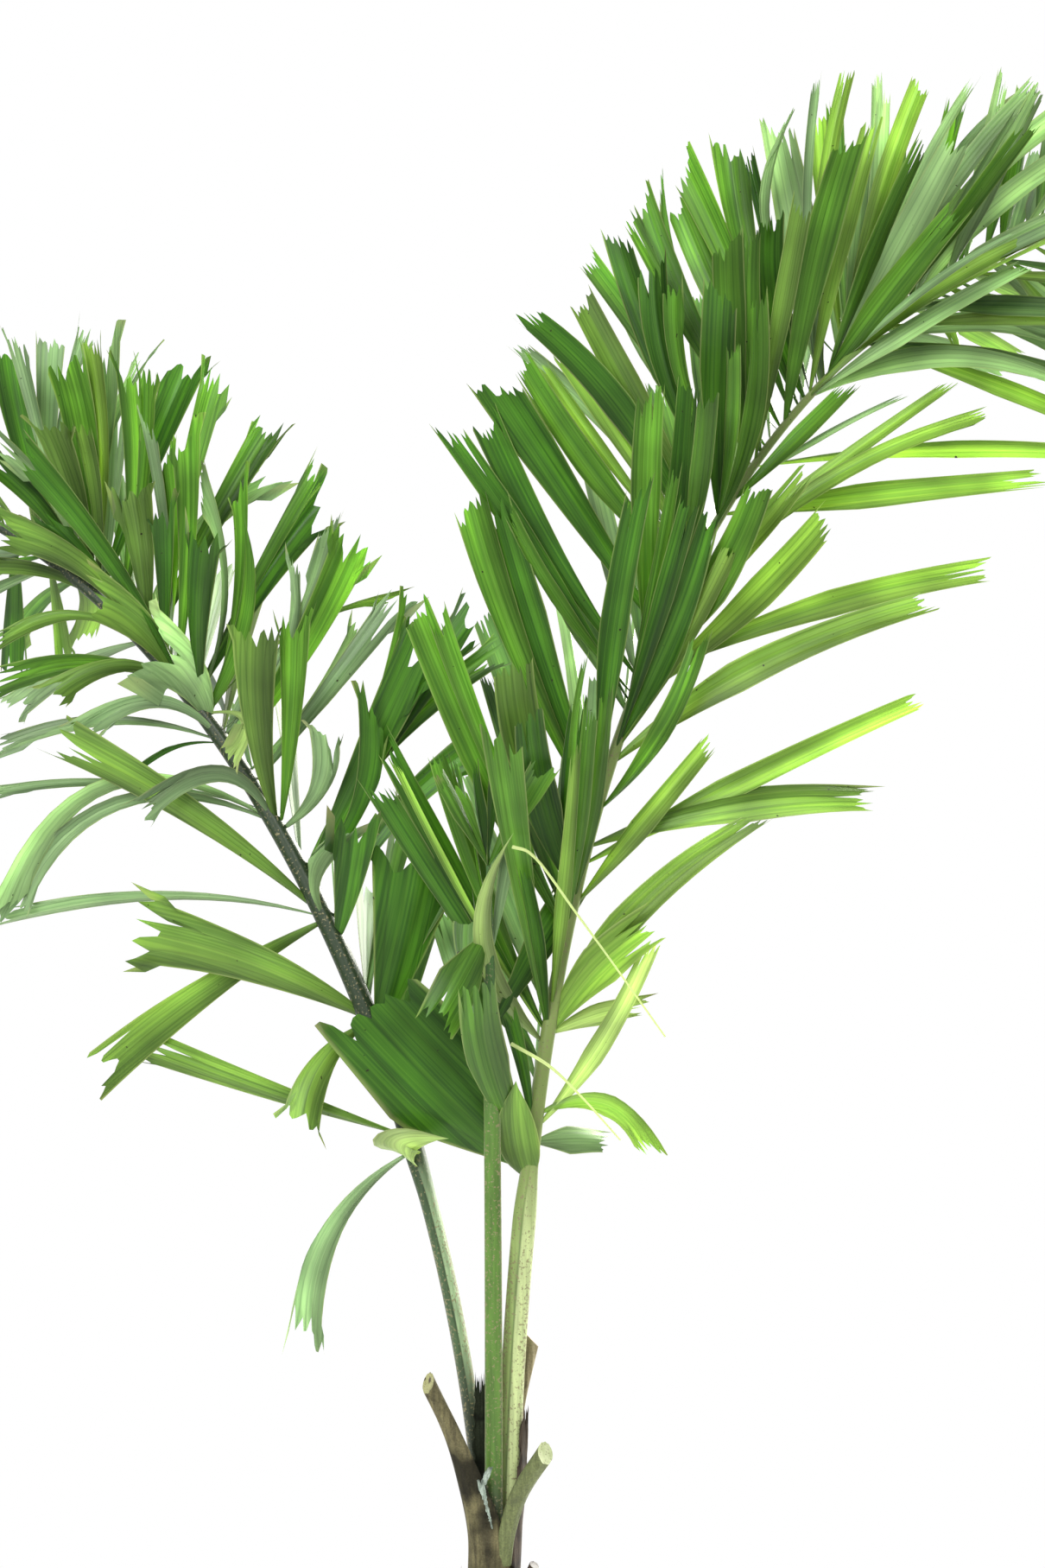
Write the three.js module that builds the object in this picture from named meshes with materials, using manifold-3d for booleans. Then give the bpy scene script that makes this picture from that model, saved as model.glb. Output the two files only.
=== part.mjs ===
// A young foxtail palm: a ringed stem cut flat at the ground, three live fronds on channelled
// stalks, and the cut bases of older leaves round the stalks' feet.
// Millimetres, +Z up, foot of the stem at the origin, seen from -Y.
import * as THREE from "three";
import { mergeVertices } from "three/addons/utils/BufferGeometryUtils.js";
import Module from "manifold-3d";

const wasm = await Module();
wasm.setup();

// Stem: radii from the ground up, and the ring scars that fallen leaves left on it.
const STEM = {
  height: 400,
  footRadius: 64,
  waistRadius: 50,
  topRadius: 40,
  flareHeight: 70,
  ringPitch: 50,
  ringRelief: 1.6,
  sides: 18,
};
const GAP = 0.3; // clearance between neighbouring pieces
const PLAY = 1e-9; // keeps a place along a frond inside its last step

// Leaflet blade, as shares of its length or width: a narrow neck that widens nearly straight to the
// shoulder, which lies further out the more the blade flares, and an end whose corners stand ahead of
// and behind its middle by the slant.
const LEAF = {
  thinness: 100, // length over thickness
  leastThick: 2.6, // mm
  slant: 0.07,
  neck: 0.1,
  shoulder: [0.7, 0.9], // of a straight blade, and what its flare adds
  shoulderRange: [0.4, 0.95],
  swell: 1.05, // power of the widening
  root: 0.2, // the stretch that may touch the next leaflet of its cluster
};

// Ribs and live stalks: a rib is flatter than wide, and a stalk is rolled to this radius from its
// foot to where the leaflets begin, which leaves a channel on its upper side.
const RIB = { flatness: 0.95, rowStep: 75, stalkWrap: [24, 30] };

// Fronds. heading: compass turn of the arch from +X towards +Y. lean: degrees from upright, as
// base + rise x + arch x^power along the frond (x from 0 to 1). stalk: where the leaflets begin.
// bend: where the blade is split. taper: power by which the rib thins. Clusters of leaflets crowd
// towards the tip, and each fans round the rib from fan[0] to fan[1] degrees off its upper side, on
// both flanks. seen: up to here the viewer's side has its measured leaflets in place of the clusters'.
const FRONDS = {
  right: {
    seed: 11, foot: [23, 9], heading: 14, length: 2440,
    lean: { base: 0.5, rise: 22, arch: 71, power: 3 },
    stalk: 536, bend: 1440, first: 600, clusters: 22, crowd: 0.22,
    reach: 520, width: 50, ranks: 5, fan: [14, 162], spread: [38, 50], droop: 0.2, bare: 0.62,
    seen: 1760, flare: -0.22, stalkWidth: [28, 25], stalkDepth: [33, 33], tipWidth: 6, taper: 0.8,
  },
  left: {
    seed: 23, foot: [-5, 17], heading: 166, length: 2080,
    lean: { base: 2.5, rise: 51, arch: 46.5, power: 5.2 },
    stalk: 566, bend: 1330, first: 690, clusters: 15, crowd: 0.22,
    reach: 440, width: 56, ranks: 5, fan: [14, 162], spread: [40, 52], droop: 0.36, bare: 0.5,
    seen: 1620, flare: 0.3, stalkWidth: [28, 31], stalkDepth: [21, 23], tipWidth: 6, taper: 1.8,
  },
  centre: {
    seed: 37, foot: [6, -15], heading: -98, length: 1000,
    lean: { base: 0, rise: 3, arch: 6, power: 3 },
    stalk: 720, bend: 1000, first: 780, clusters: 3, crowd: 0,
    reach: 330, width: 56, ranks: 3, fan: [30, 150], spread: [32, 18], droop: 0.1, bare: 0,
    seen: 1000, flare: -0.1, stalkWidth: [25, 22], stalkDepth: [16, 17], tipWidth: 6, taper: 0.8,
  },
};

// The rule by which leaflets grow. Jitters are the most that a draw adds or takes away: of the turn,
// spread and roll in degrees, of the place in mm, of length, width and droop as shares.
const GROWTH = {
  lastPlace: 0.985, // where the last cluster sits, of the frond's length
  turnJitter: 12, placeJitter: 30, spreadJitter: 10, lengthJitter: 0.13, widthJitter: 0.2,
  rollJitter: 28, droopJitter: 0.5,
  underTurn: 108, // leaflets turned further than this hang under the rib
  underSpread: 6, // how much wider the hanging ones spread
  upperReach: 0.95, underReach: 1.05, // length of the upper and of the hanging ones
  footReach: 0.75, footSpan: 0.18, // shorter leaflets at the blade's foot, and how far up
  tipLoss: 0.58, tipPower: 1.3, // how the length falls away to the tip
  tipNarrowing: 0.42,
  flareJitter: 0.2,
  innerFlare: 0.16, // of measured leaflets that point back over the stem
  farSide: -0.55, // a cluster's leaflet whose direction lies further to the viewer is on the seen side
  rootsFrom: 1.02, // where the measured leaflets begin, of the stalk's length
  singleWidth: 0.95, singleRoll: 8, singleRollJitter: 14,
  depthShifts: [0, 35, -35, 70, -70, 110, -110], // tried in turn until a measured leaflet is clear
};

// The photograph as a measure: its size in pixels, the size of a pixel at the stem's axis, and the
// level eye that looks along +Y.
const PICTURE = { frame: [1210, 1815], pixel: 1.2, eye: [45.6, -4500, 1509] };

// Leaflets that are told apart in the photograph, in its pixels: root, middle and tip of the blade's
// middle line and its width, then how many mm the tip stands nearer to the viewer than the root.
const SINGLE_LEAFLETS = {
  right: [
    [[603, 1365], [598, 1308], [597, 1250], 52, 75],
    [[600, 1352], [520, 1262], [428, 1165], 158, 22],
    [[638, 1212], [562, 1088], [592, 974], 46, 125],
    [[618, 1320], [608, 1250], [590, 1180], 21, 30],
    [[640, 1195], [735, 1055], [875, 950], 40, 20],
    [[668, 1055], [735, 965], [818, 865], 34, 50],
    [[690, 1005], [880, 895], [1058, 812], 31, 10],
    [[700, 985], [850, 930], [1003, 920], 52, 40],
    [[700, 945], [752, 870], [812, 745], 34, 70],
    [[642, 1198], [690, 1175], [742, 1165], 29, -30],
    [[625, 1310], [690, 1215], [752, 1095], 24, 10],
    [[622, 1292], [700, 1278], [752, 1330], 29, 20],
    [[620, 1322], [662, 1318], [704, 1320], 38, -60],
    [[722, 890], [880, 770], [1070, 702], 41, 20],
    [[755, 790], [940, 705], [1135, 662], 34, 0],
    [[745, 815], [850, 715], [952, 607], 40, 40],
    [[770, 750], [915, 585], [1135, 480], 22, 50],
    [[800, 690], [960, 545], [1100, 452], 21, 30],
    [[860, 570], [950, 505], [1040, 457], 11, 10],
    [[850, 590], [920, 510], [980, 450], 23, 40],
    [[845, 600], [1040, 570], [1203, 556], 34, 0],
    [[880, 545], [1050, 520], [1240, 518], 26, -20],
    [[930, 455], [1080, 412], [1225, 440], 33, -10],
    [[985, 400], [1110, 372], [1240, 395], 28, -20],
    [[1020, 370], [1130, 345], [1240, 378], 17, -40],
    [[1075, 350], [1100, 372], [1115, 408], 28, -60],
    [[1030, 375], [1045, 385], [1056, 406], 24, -70],
    [[698, 930], [708, 740], [738, 572], 41, 165],
    [[725, 850], [755, 690], [777, 552], 22, 120],
    [[715, 880], [757, 730], [797, 590], 29, 140],
    [[725, 870], [775, 740], [822, 600], 43, 110],
    [[775, 790], [825, 680], [878, 570], 48, 130],
    [[800, 720], [870, 620], [930, 550], 38, 110],
    [[730, 880], [790, 745], [845, 640], 26, 90],
    [[655, 930], [600, 750], [546, 588], 45, 60],
    [[668, 930], [628, 760], [578, 592], 45, 45],
    [[690, 800], [612, 630], [524, 505], 34, 85],
    [[692, 790], [642, 690], [590, 600], 22, 95],
    [[698, 770], [640, 640], [567, 496], 36, 40],
    [[735, 720], [650, 560], [578, 450], 53, 50],
    [[735, 640], [662, 510], [607, 424], 36, 30],
    [[745, 610], [670, 460], [602, 402], 22, -20],
    [[800, 640], [700, 450], [612, 364], 38, 45],
    [[805, 610], [722, 440], [674, 350], 38, 10],
    [[790, 640], [712, 495], [655, 408], 31, 20],
    [[775, 640], [690, 510], [632, 425], 19, 0],
    [[845, 560], [742, 385], [684, 304], 26, 0],
    [[840, 560], [750, 380], [716, 278], 40, 20],
    [[830, 520], [745, 400], [708, 320], 26, -40],
    [[835, 570], [767, 410], [757, 312], 43, 45],
    [[840, 560], [785, 420], [779, 334], 24, 65],
    [[850, 500], [772, 330], [731, 256], 26, -10],
    [[850, 490], [777, 320], [746, 236], 31, 0],
    [[840, 450], [777, 300], [764, 214], 12, 10],
    [[870, 470], [815, 310], [786, 240], 33, -30],
    [[890, 460], [830, 270], [794, 192], 38, 0],
    [[900, 450], [858, 270], [843, 175], 41, 10],
    [[910, 430], [887, 270], [865, 186], 21, 0],
    [[850, 540], [848, 400], [842, 284], 40, 90],
    [[870, 520], [868, 390], [868, 273], 31, 100],
    [[830, 600], [830, 450], [836, 340], 45, 150],
    [[845, 640], [868, 490], [872, 350], 34, 110],
    [[780, 700], [790, 560], [800, 450], 40, 130],
    [[740, 760], [747, 590], [750, 455], 40, 140],
    [[800, 690], [808, 570], [818, 462], 29, 150],
    [[850, 620], [845, 520], [850, 405], 19, 160],
    [[895, 430], [893, 320], [893, 254], 36, 60],
    [[875, 540], [900, 390], [928, 243], 27, 130],
    [[935, 430], [926, 280], [901, 152], 52, 20],
    [[890, 330], [886, 220], [911, 140], 12, 110],
    [[915, 420], [934, 250], [943, 99], 12, 60],
    [[960, 400], [957, 250], [950, 134], 29, -40],
    [[970, 400], [972, 250], [966, 128], 22, -60],
    [[935, 420], [953, 230], [978, 88], 22, 50],
    [[905, 490], [940, 320], [978, 166], 46, 140],
    [[925, 450], [972, 290], [1012, 145], 30, 120],
    [[985, 380], [1013, 220], [1016, 94], 22, 0],
    [[965, 410], [1012, 250], [1064, 100], 31, 70],
    [[985, 390], [1050, 230], [1120, 94], 24, 60],
    [[960, 430], [1040, 290], [1106, 168], 42, 120],
    [[950, 440], [1025, 345], [1103, 247], 44, 150],
    [[1000, 380], [1090, 230], [1195, 104], 24, 40],
    [[1060, 310], [1108, 180], [1176, 113], 14, -20],
    [[1020, 370], [1118, 230], [1230, 132], 29, 20],
    [[1050, 350], [1140, 250], [1240, 178], 29, 10],
    [[1060, 350], [1150, 285], [1245, 240], 22, 40],
    [[1010, 390], [1060, 290], [1100, 200], 28, 20],
    [[925, 460], [1060, 352], [1215, 272], 24, 90],
    [[930, 455], [1058, 378], [1180, 310], 26, 120],
    [[640, 1010], [615, 890], [592, 772], 56, 150],
    [[650, 1030], [628, 930], [612, 830], 48, 130],
    [[637, 1195], [603, 1010], [577, 850], 44, 190],
    [[637, 1195], [625, 1100], [610, 1010], 22, 110],
    [[655, 1080], [672, 940], [683, 826], 24, 170],
    [[668, 1050], [690, 920], [702, 802], 21, 150],
    [[650, 1000], [662, 880], [677, 766], 12, 180],
    [[650, 1060], [655, 930], [664, 820], 29, 120],
    [[645, 1180], [655, 1020], [668, 870], 22, 165],
    [[650, 1080], [560, 890], [484, 712], 45, 100],
    [[655, 1075], [572, 890], [510, 725], 26, 110],
    [[637, 1197], [556, 1020], [508, 877], 31, 75],
    [[637, 1197], [526, 1010], [452, 868], 33, 60],
    [[630, 1215], [510, 1030], [438, 916], 33, 45],
    [[637, 1200], [535, 1035], [463, 886], 11, 78],
    [[600, 1345], [568, 1242], [556, 1148], 58, 130],
    [[640, 1200], [690, 1122], [752, 1072], 56, 30],
  ],
  left: [
    [[455, 1340], [385, 1424], [357, 1548], 38, 10],
    [[450, 1325], [320, 1266], [172, 1212], 46, 5],
    [[405, 1192], [378, 1225], [352, 1298], 56, 75],
    [[400, 1190], [300, 1118], [165, 1078], 88, 60],
    [[365, 1070], [240, 1145], [120, 1236], 50, 35],
    [[365, 1068], [210, 1038], [-5, 1072], 26, -20],
    [[362, 1068], [218, 940], [72, 860], 52, 40],
    [[320, 955], [262, 896], [168, 934], 38, 85],
    [[315, 955], [140, 928], [5, 1062], 32, 10],
    [[318, 950], [115, 912], [8, 1045], 34, 25],
    [[258, 860], [150, 834], [-5, 866], 22, -20],
    [[258, 858], [190, 812], [98, 842], 30, 55],
    [[258, 862], [205, 864], [160, 891], 8, 20],
    [[300, 945], [130, 905], [-10, 915], 16, -30],
    [[255, 810], [284, 834], [268, 878], 20, 70],
    [[266, 822], [219, 785], [172, 748], 88, 60],
    [[222, 772], [165, 728], [108, 690], 58, 50],
    [[225, 790], [128, 652], [30, 532], 38, 105],
    [[110, 640], [45, 500], [20, 395], 21, 40],
    [[175, 740], [90, 652], [2, 614], 46, 60],
    [[170, 720], [90, 640], [50, 602], 30, 50],
    [[100, 640], [30, 530], [5, 412], 52, 30],
    [[130, 660], [50, 590], [-15, 530], 34, 40],
    [[90, 600], [55, 490], [60, 398], 34, -30],
    [[100, 600], [72, 480], [97, 384], 19, -40],
    [[125, 640], [95, 510], [76, 422], 57, 60],
    [[150, 640], [118, 500], [104, 400], 26, 75],
    [[140, 610], [125, 480], [132, 378], 34, 20],
    [[130, 600], [135, 470], [163, 408], 21, 10],
    [[135, 660], [85, 570], [56, 495], 43, 90],
    [[140, 660], [110, 570], [96, 495], 29, 80],
    [[165, 690], [154, 550], [148, 428], 28, 60],
    [[165, 690], [166, 550], [170, 432], 22, 68],
    [[165, 640], [182, 505], [216, 424], 52, -10],
    [[150, 660], [130, 560], [135, 470], 34, -30],
    [[225, 720], [220, 540], [245, 440], 40, 20],
    [[225, 770], [217, 620], [215, 503], 34, 105],
    [[205, 760], [200, 620], [193, 527], 24, 75],
    [[210, 770], [189, 600], [172, 492], 19, 95],
    [[180, 740], [162, 645], [150, 574], 55, 125],
    [[200, 760], [190, 660], [188, 590], 31, 90],
    [[222, 830], [226, 730], [230, 628], 54, 145],
    [[275, 780], [258, 650], [232, 563], 17, 60],
    [[290, 800], [278, 660], [277, 562], 20, 70],
    [[275, 800], [287, 690], [282, 596], 23, 115],
    [[318, 962], [300, 850], [297, 734], 60, 135],
    [[322, 962], [336, 840], [340, 722], 42, 120],
    [[322, 962], [372, 906], [374, 848], 40, 100],
    [[365, 1080], [362, 1018], [404, 960], 38, 60],
    [[380, 1095], [402, 1030], [412, 952], 60, 70],
    [[365, 1015], [430, 865], [482, 752], 64, 60],
    [[380, 1005], [412, 940], [428, 812], 36, 75],
    [[380, 1000], [465, 830], [543, 716], 42, 30],
    [[375, 1000], [478, 832], [576, 756], 34, 10],
    [[375, 1080], [470, 930], [553, 864], 42, -20],
    [[385, 1000], [432, 850], [472, 706], 26, 45],
    [[255, 790], [308, 665], [374, 572], 53, 20],
    [[255, 790], [312, 640], [366, 546], 21, 30],
    [[230, 700], [268, 565], [310, 495], 40, -20],
    [[220, 680], [255, 592], [312, 553], 38, -60],
    [[330, 830], [368, 715], [406, 628], 52, 40],
    [[335, 800], [357, 690], [382, 610], 14, 20],
    [[320, 800], [340, 720], [338, 652], 16, 30],
    [[340, 880], [400, 772], [460, 694], 38, -10],
    [[330, 760], [400, 703], [460, 689], 9, -50],
    [[340, 860], [385, 790], [420, 730], 40, -50],
    [[275, 850], [290, 800], [335, 760], 36, -60],
    [[30, 600], [16, 680], [12, 775], 36, -150],
    [[60, 640], [66, 700], [75, 768], 24, -160],
    [[90, 640], [102, 690], [92, 738], 34, -170],
    [[215, 790], [110, 768], [0, 792], 36, 30],
    [[200, 790], [150, 770], [65, 802], 34, 60],
    [[175, 730], [90, 712], [-5, 746], 24, 20],
    [[130, 690], [60, 664], [-12, 656], 24, -20],
    [[130, 650], [60, 575], [-2, 512], 24, 85],
    [[425, 1205], [462, 1102], [484, 998], 112, 25],
    [[425, 1190], [480, 1085], [520, 1010], 42, 0],
    [[480, 1353], [460, 1326], [520, 1316], 62, 45],
  ],
  centre: [
    [[566, 1076], [546, 1118], [512, 1180], 68, 70],
    [[566, 1180], [545, 1110], [552, 1040], 44, 20],
  ],
};

// Bases of leaves that were cut off. path: middle line from the stem up to the cut. facing:
// compass turn of the outer face at the foot and at the cut. halfWidth, depth and wrap (the radius
// the base is rolled to) run from foot to cut, the width with the given power.
const LEAF_BASES = {
  left_stub: {
    path: [[0, -31, 400.3], [-8, -33, 474], [-31, -37, 556], [-53, -42, 618], [-84, -50, 686]],
    facing: [270, 215], halfWidth: [41, 13], power: 2.2, depth: [7, 20], wrap: [31, 44],
  },
  right_stub: {
    path: [[19, -26, 430], [25, -31, 476], [42, -37, 532], [77, -46, 589]],
    facing: [285, 315], halfWidth: [12, 15], power: 1, depth: [8, 22], wrap: [30, 40],
  },
  rear_stub: {
    path: [[20, 29, 400.3], [25, 33, 520], [37, 36, 640], [57, 40, 732]],
    facing: [70, 55], halfWidth: [12, 15], power: 1, depth: [7, 16], wrap: [36, 40],
  },
  dry_sheath: {
    path: [[39, -4, 400.3], [42, -3, 470], [47, 0, 560], [50, 4, 622]],
    facing: [345, 330], halfWidth: [22, 9], power: 1, depth: [4, 4], wrap: [37, 50],
  },
  low_stub: {
    path: [[34, -14, 362], [48, -19, 398], [62, -24, 430]],
    facing: [330, 335], halfWidth: [13, 10], power: 1, depth: [9, 13], wrap: [42, 50],
  },
};

const COLOURS = {
  stem: 0x77705c, stub: 0x6f6a48, cutStub: 0x8a8f5a, dry: 0x3d352a,
  leftStalk: 0x6f8a5f, centreStalk: 0x6c9e4a, rightStalk: 0xb5c585,
  leftBlade: 0x4a7a3a, rightBlade: 0x5f9a35, centreBlade: 0x4d8430,
};

const UP = new THREE.Vector3(0, 0, 1);
const VIEWER = new THREE.Vector3(0, -1, 0);
const radians = THREE.MathUtils.degToRad;
const lerp = THREE.MathUtils.lerp;

/** Repeatable draw from -1 to 1 for a list of whole numbers. */
function draw(...keys) {
  let h = 2166136261;
  for (const key of keys) {
    h = Math.imul(h ^ key, 16777619) >>> 0;
    h ^= h >>> 15;
    h = Math.imul(h, 0x85ebca6b) >>> 0;
    h ^= h >>> 13;
  }
  return (h >>> 0) / 2147483648 - 1;
}

/** Closed solid of a geometry, by its merged points. */
function solidOf(geometry) {
  const bare = geometry.clone();
  bare.deleteAttribute("normal");
  bare.deleteAttribute("uv");
  const merged = mergeVertices(bare, 1e-3);
  return new wasm.Manifold(
    new wasm.Mesh({
      numProp: 3,
      vertProperties: new Float32Array(merged.attributes.position.array),
      triVerts: new Uint32Array(merged.index.array),
    }),
  );
}

/** The largest shell of a solid, without crumbs and without pockets sealed between its pieces. */
function largest(solid) {
  return solid.decompose().sort((a, b) => b.volume() - a.volume())[0];
}

/** Geometry of a solid, flat shaded. */
function geometryOf(solid) {
  const mesh = solid.getMesh();
  const points = new Float32Array((mesh.vertProperties.length / mesh.numProp) * 3);
  for (let i = 0; i < points.length / 3; i++)
    for (let k = 0; k < 3; k++) points[3 * i + k] = mesh.vertProperties[mesh.numProp * i + k];
  const geometry = new THREE.BufferGeometry();
  geometry.setAttribute("position", new THREE.BufferAttribute(points, 3));
  geometry.setIndex(new THREE.BufferAttribute(new Uint32Array(mesh.triVerts), 1));
  geometry.computeVertexNormals();
  return geometry;
}

/**
 * A closed tube re-shaped from a unit cylinder. place(t, across, thick) gives the point for t from
 * 0 at the foot to 1 at the end, and across and thick from -1 to 1 round the section.
 */
function loft(sides, rows, place) {
  const geometry = new THREE.CylinderGeometry(1, 1, 1, sides, rows);
  const position = geometry.attributes.position;
  for (let i = 0; i < position.count; i++) {
    const t = Math.min(1, Math.max(0, position.getY(i) + 0.5));
    const point = place(t, position.getX(i), position.getZ(i));
    position.setXYZ(i, point.x, point.y, point.z);
  }
  return geometry;
}

/** The arching middle line of a frond, with its direction, upper side and flank at each place. */
class Rachis {
  constructor(frond) {
    this.frond = frond;
    this.steps = 200;
    const turn = radians(frond.heading);
    this.out = new THREE.Vector3(Math.cos(turn), Math.sin(turn), 0);
    this.points = [new THREE.Vector3(frond.foot[0], frond.foot[1], STEM.height)];
    const step = frond.length / this.steps;
    for (let i = 0; i < this.steps; i++) {
      const ahead = this.direction((i + 0.5) * step).multiplyScalar(step);
      this.points.push(this.points[i].clone().add(ahead));
    }
  }

  lean(s) {
    const { base, rise, arch, power } = this.frond.lean;
    const x = s / this.frond.length;
    return radians(base + rise * x + arch * x ** power);
  }

  direction(s) {
    const lean = this.lean(s);
    return this.out.clone().multiplyScalar(Math.sin(lean)).addScaledVector(UP, Math.cos(lean));
  }

  at(s) {
    const place = Math.min(this.steps - PLAY, Math.max(0, (s / this.frond.length) * this.steps));
    const i = Math.floor(place);
    const point = this.points[i].clone().lerp(this.points[i + 1], place - i);
    const along = this.direction(s);
    const lean = this.lean(s);
    const upper = this.out.clone().multiplyScalar(-Math.cos(lean)).addScaledVector(UP, Math.sin(lean));
    return { point, along, upper, flank: along.clone().cross(upper) };
  }

  /** Half the rib's width at s: the stalk's, then thinning to the tip. */
  halfWidth(s) {
    const f = this.frond;
    if (s <= f.stalk) return lerp(f.stalkWidth[0], f.stalkWidth[1], s / f.stalk) / 2;
    const x = (s - f.stalk) / (f.length - f.stalk);
    return lerp(f.stalkWidth[1], f.tipWidth, x ** f.taper) / 2;
  }
}

/**
 * Leaflets of the clusters along a frond. A leaflet's middle line is root + run u + bend u^2, for u
 * from 0 to 1.
 */
function clusterLeaflets(frond, rachis) {
  const leaves = [];
  for (let k = 0; k < frond.clusters; k++) {
    const q = k / (frond.clusters - 1);
    const span = frond.length * GROWTH.lastPlace - frond.first;
    const place = frond.first + span * ((1 + frond.crowd) * q - frond.crowd * q * q);
    for (const side of [1, -1])
      for (let rank = 0; rank < frond.ranks; rank++) {
        const jitter = (c) => draw(frond.seed, k, side + 2, rank, c);
        const turn = lerp(frond.fan[0], frond.fan[1], rank / (frond.ranks - 1)) + GROWTH.turnJitter * jitter(1);
        const at = Math.min(frond.length, Math.max(0, place + GROWTH.placeJitter * jitter(2)));
        const { point, along, upper, flank } = rachis.at(at);
        const phi = radians(turn) * side;
        const outward = upper.clone().multiplyScalar(Math.cos(phi)).addScaledVector(flank, Math.sin(phi));
        const measured = at < frond.seen && outward.dot(VIEWER) > GROWTH.farSide;
        if (measured || (turn > GROWTH.underTurn && q < frond.bare)) continue;
        const under = (1 - Math.cos(phi)) / 2;
        const opening = lerp(frond.spread[0], frond.spread[1], q) + GROWTH.underSpread * under;
        const spread = radians(opening + GROWTH.spreadJitter * jitter(3));
        const ahead = along.clone().multiplyScalar(Math.cos(spread)).addScaledVector(outward, Math.sin(spread));
        const young = lerp(GROWTH.footReach, 1, Math.min(1, q / GROWTH.footSpan));
        const share = young * (1 - GROWTH.tipLoss * q ** GROWTH.tipPower);
        const turned = lerp(GROWTH.upperReach, GROWTH.underReach, under);
        const length = frond.reach * share * turned * (1 + GROWTH.lengthJitter * jitter(4));
        const width = frond.width * (1 + GROWTH.widthJitter * jitter(5)) * (1 - GROWTH.tipNarrowing * q);
        const face = upper.clone().multiplyScalar(Math.abs(Math.sin(phi)))
          .addScaledVector(flank, -side * Math.cos(phi));
        face.addScaledVector(ahead, -face.dot(ahead)).normalize();
        const roll = radians(GROWTH.rollJitter * jitter(6));
        const across = face.clone().cross(ahead).applyAxisAngle(ahead, -roll);
        const droop = frond.droop * Math.hypot(ahead.x, ahead.y) * (1 + GROWTH.droopJitter * jitter(7));
        const bend = UP.clone().multiplyScalar(-0.5 * droop * length);
        const flare = frond.flare + GROWTH.flareJitter * jitter(12);
        leaves.push({ at, root: point, run: ahead.multiplyScalar(length), bend, across, width, length, flare });
      }
  }
  return leaves;
}

/** Size of a pixel in mm at a depth behind the stem's axis. */
const pixelSize = (depth) => (PICTURE.pixel * (depth - PICTURE.eye[1])) / -PICTURE.eye[1];

/** Point of a pixel at a depth. */
function pointAt([x, y], depth) {
  const size = pixelSize(depth);
  const { frame, eye } = PICTURE;
  return new THREE.Vector3(eye[0] + (x - frame[0] / 2) * size, depth, eye[2] + (frame[1] / 2 - y) * size);
}

/** Place along a frond whose picture comes nearest to a pixel. */
function nearestPlace(pixel, frond, rachis) {
  const from = frond.stalk * GROWTH.rootsFrom;
  let best = { apart: Infinity };
  for (let i = 0; i < 4 * rachis.steps; i++) {
    const at = lerp(from, frond.length, i / (4 * rachis.steps - 1));
    const { point } = rachis.at(at);
    const apart = pointAt(pixel, point.y).distanceTo(point);
    if (apart < best.apart) best = { apart, at, point };
  }
  return best;
}

/**
 * A measured leaflet, from the pixels of its middle line, which passes its middle at its share of the
 * way; shift moves its tip towards the viewer.
 */
function singleLeaflet([rootPixel, middlePixel, tipPixel, wide, near], index, frond, rachis, shift) {
  const { at, point: root } = nearestPlace(rootPixel, frond, rachis);
  const middle = pointAt(middlePixel, root.y - (near + shift) / 2);
  const tip = pointAt(tipPixel, root.y - near - shift);
  const jitter = (c) => draw(frond.seed * 1000 + 700 + index, c);
  const ahead = tip.clone().sub(root).normalize();
  const roll = radians(GROWTH.singleRoll + GROWTH.singleRollJitter * jitter(915));
  const inner = (tip.x - root.x) * Math.cos(radians(frond.heading)) < 0;
  const length = root.distanceTo(middle) + middle.distanceTo(tip);
  const share = root.distanceTo(middle) / length;
  const chord = tip.clone().sub(root);
  const bend = middle.clone().sub(root).addScaledVector(chord, -share).divideScalar(share * share - share);
  return {
    at,
    root,
    run: chord.clone().sub(bend),
    bend,
    across: ahead.clone().cross(VIEWER).normalize().applyAxisAngle(ahead, -roll),
    width: GROWTH.singleWidth * wide * pixelSize(tip.y),
    length,
    flare: frond.flare + (inner ? GROWTH.innerFlare : 0) + GROWTH.flareJitter * jitter(914),
  };
}

/**
 * A leaflet as a thin keeled wedge, widest near its slanting end. spare widens it all round, from
 * cuts its root off.
 */
function leafletGeometry(leaf, spare = 0, from = 0) {
  const thick = Math.max(LEAF.leastThick, leaf.length / LEAF.thinness) / 1.5 + spare;
  const shoulder = THREE.MathUtils.clamp(LEAF.shoulder[0] + LEAF.shoulder[1] * leaf.flare, ...LEAF.shoulderRange);
  return loft(3, 3, (place, corner, depth) => {
    const across = Math.sign(Math.round(corner * 9));
    const t = lerp(from, 1, place);
    const u = place === 1 ? 1 + LEAF.slant * across : t;
    const ahead = leaf.run.clone().addScaledVector(leaf.bend, 2 * u).normalize();
    const side = leaf.across.clone().addScaledVector(ahead, -leaf.across.dot(ahead)).normalize();
    const face = side.clone().cross(ahead);
    const widening = 1 - (1 - Math.min(1, t / shoulder)) ** LEAF.swell;
    const past = Math.max(0, (t - shoulder) / (1 - shoulder));
    const wedge = lerp(LEAF.neck, 1, widening) * (1 + leaf.flare * past);
    return leaf.root.clone()
      .addScaledVector(leaf.run, u)
      .addScaledVector(leaf.bend, u * u)
      .addScaledVector(side, across * ((leaf.width / 2) * wedge + spare))
      .addScaledVector(face, depth * thick);
  });
}

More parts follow.
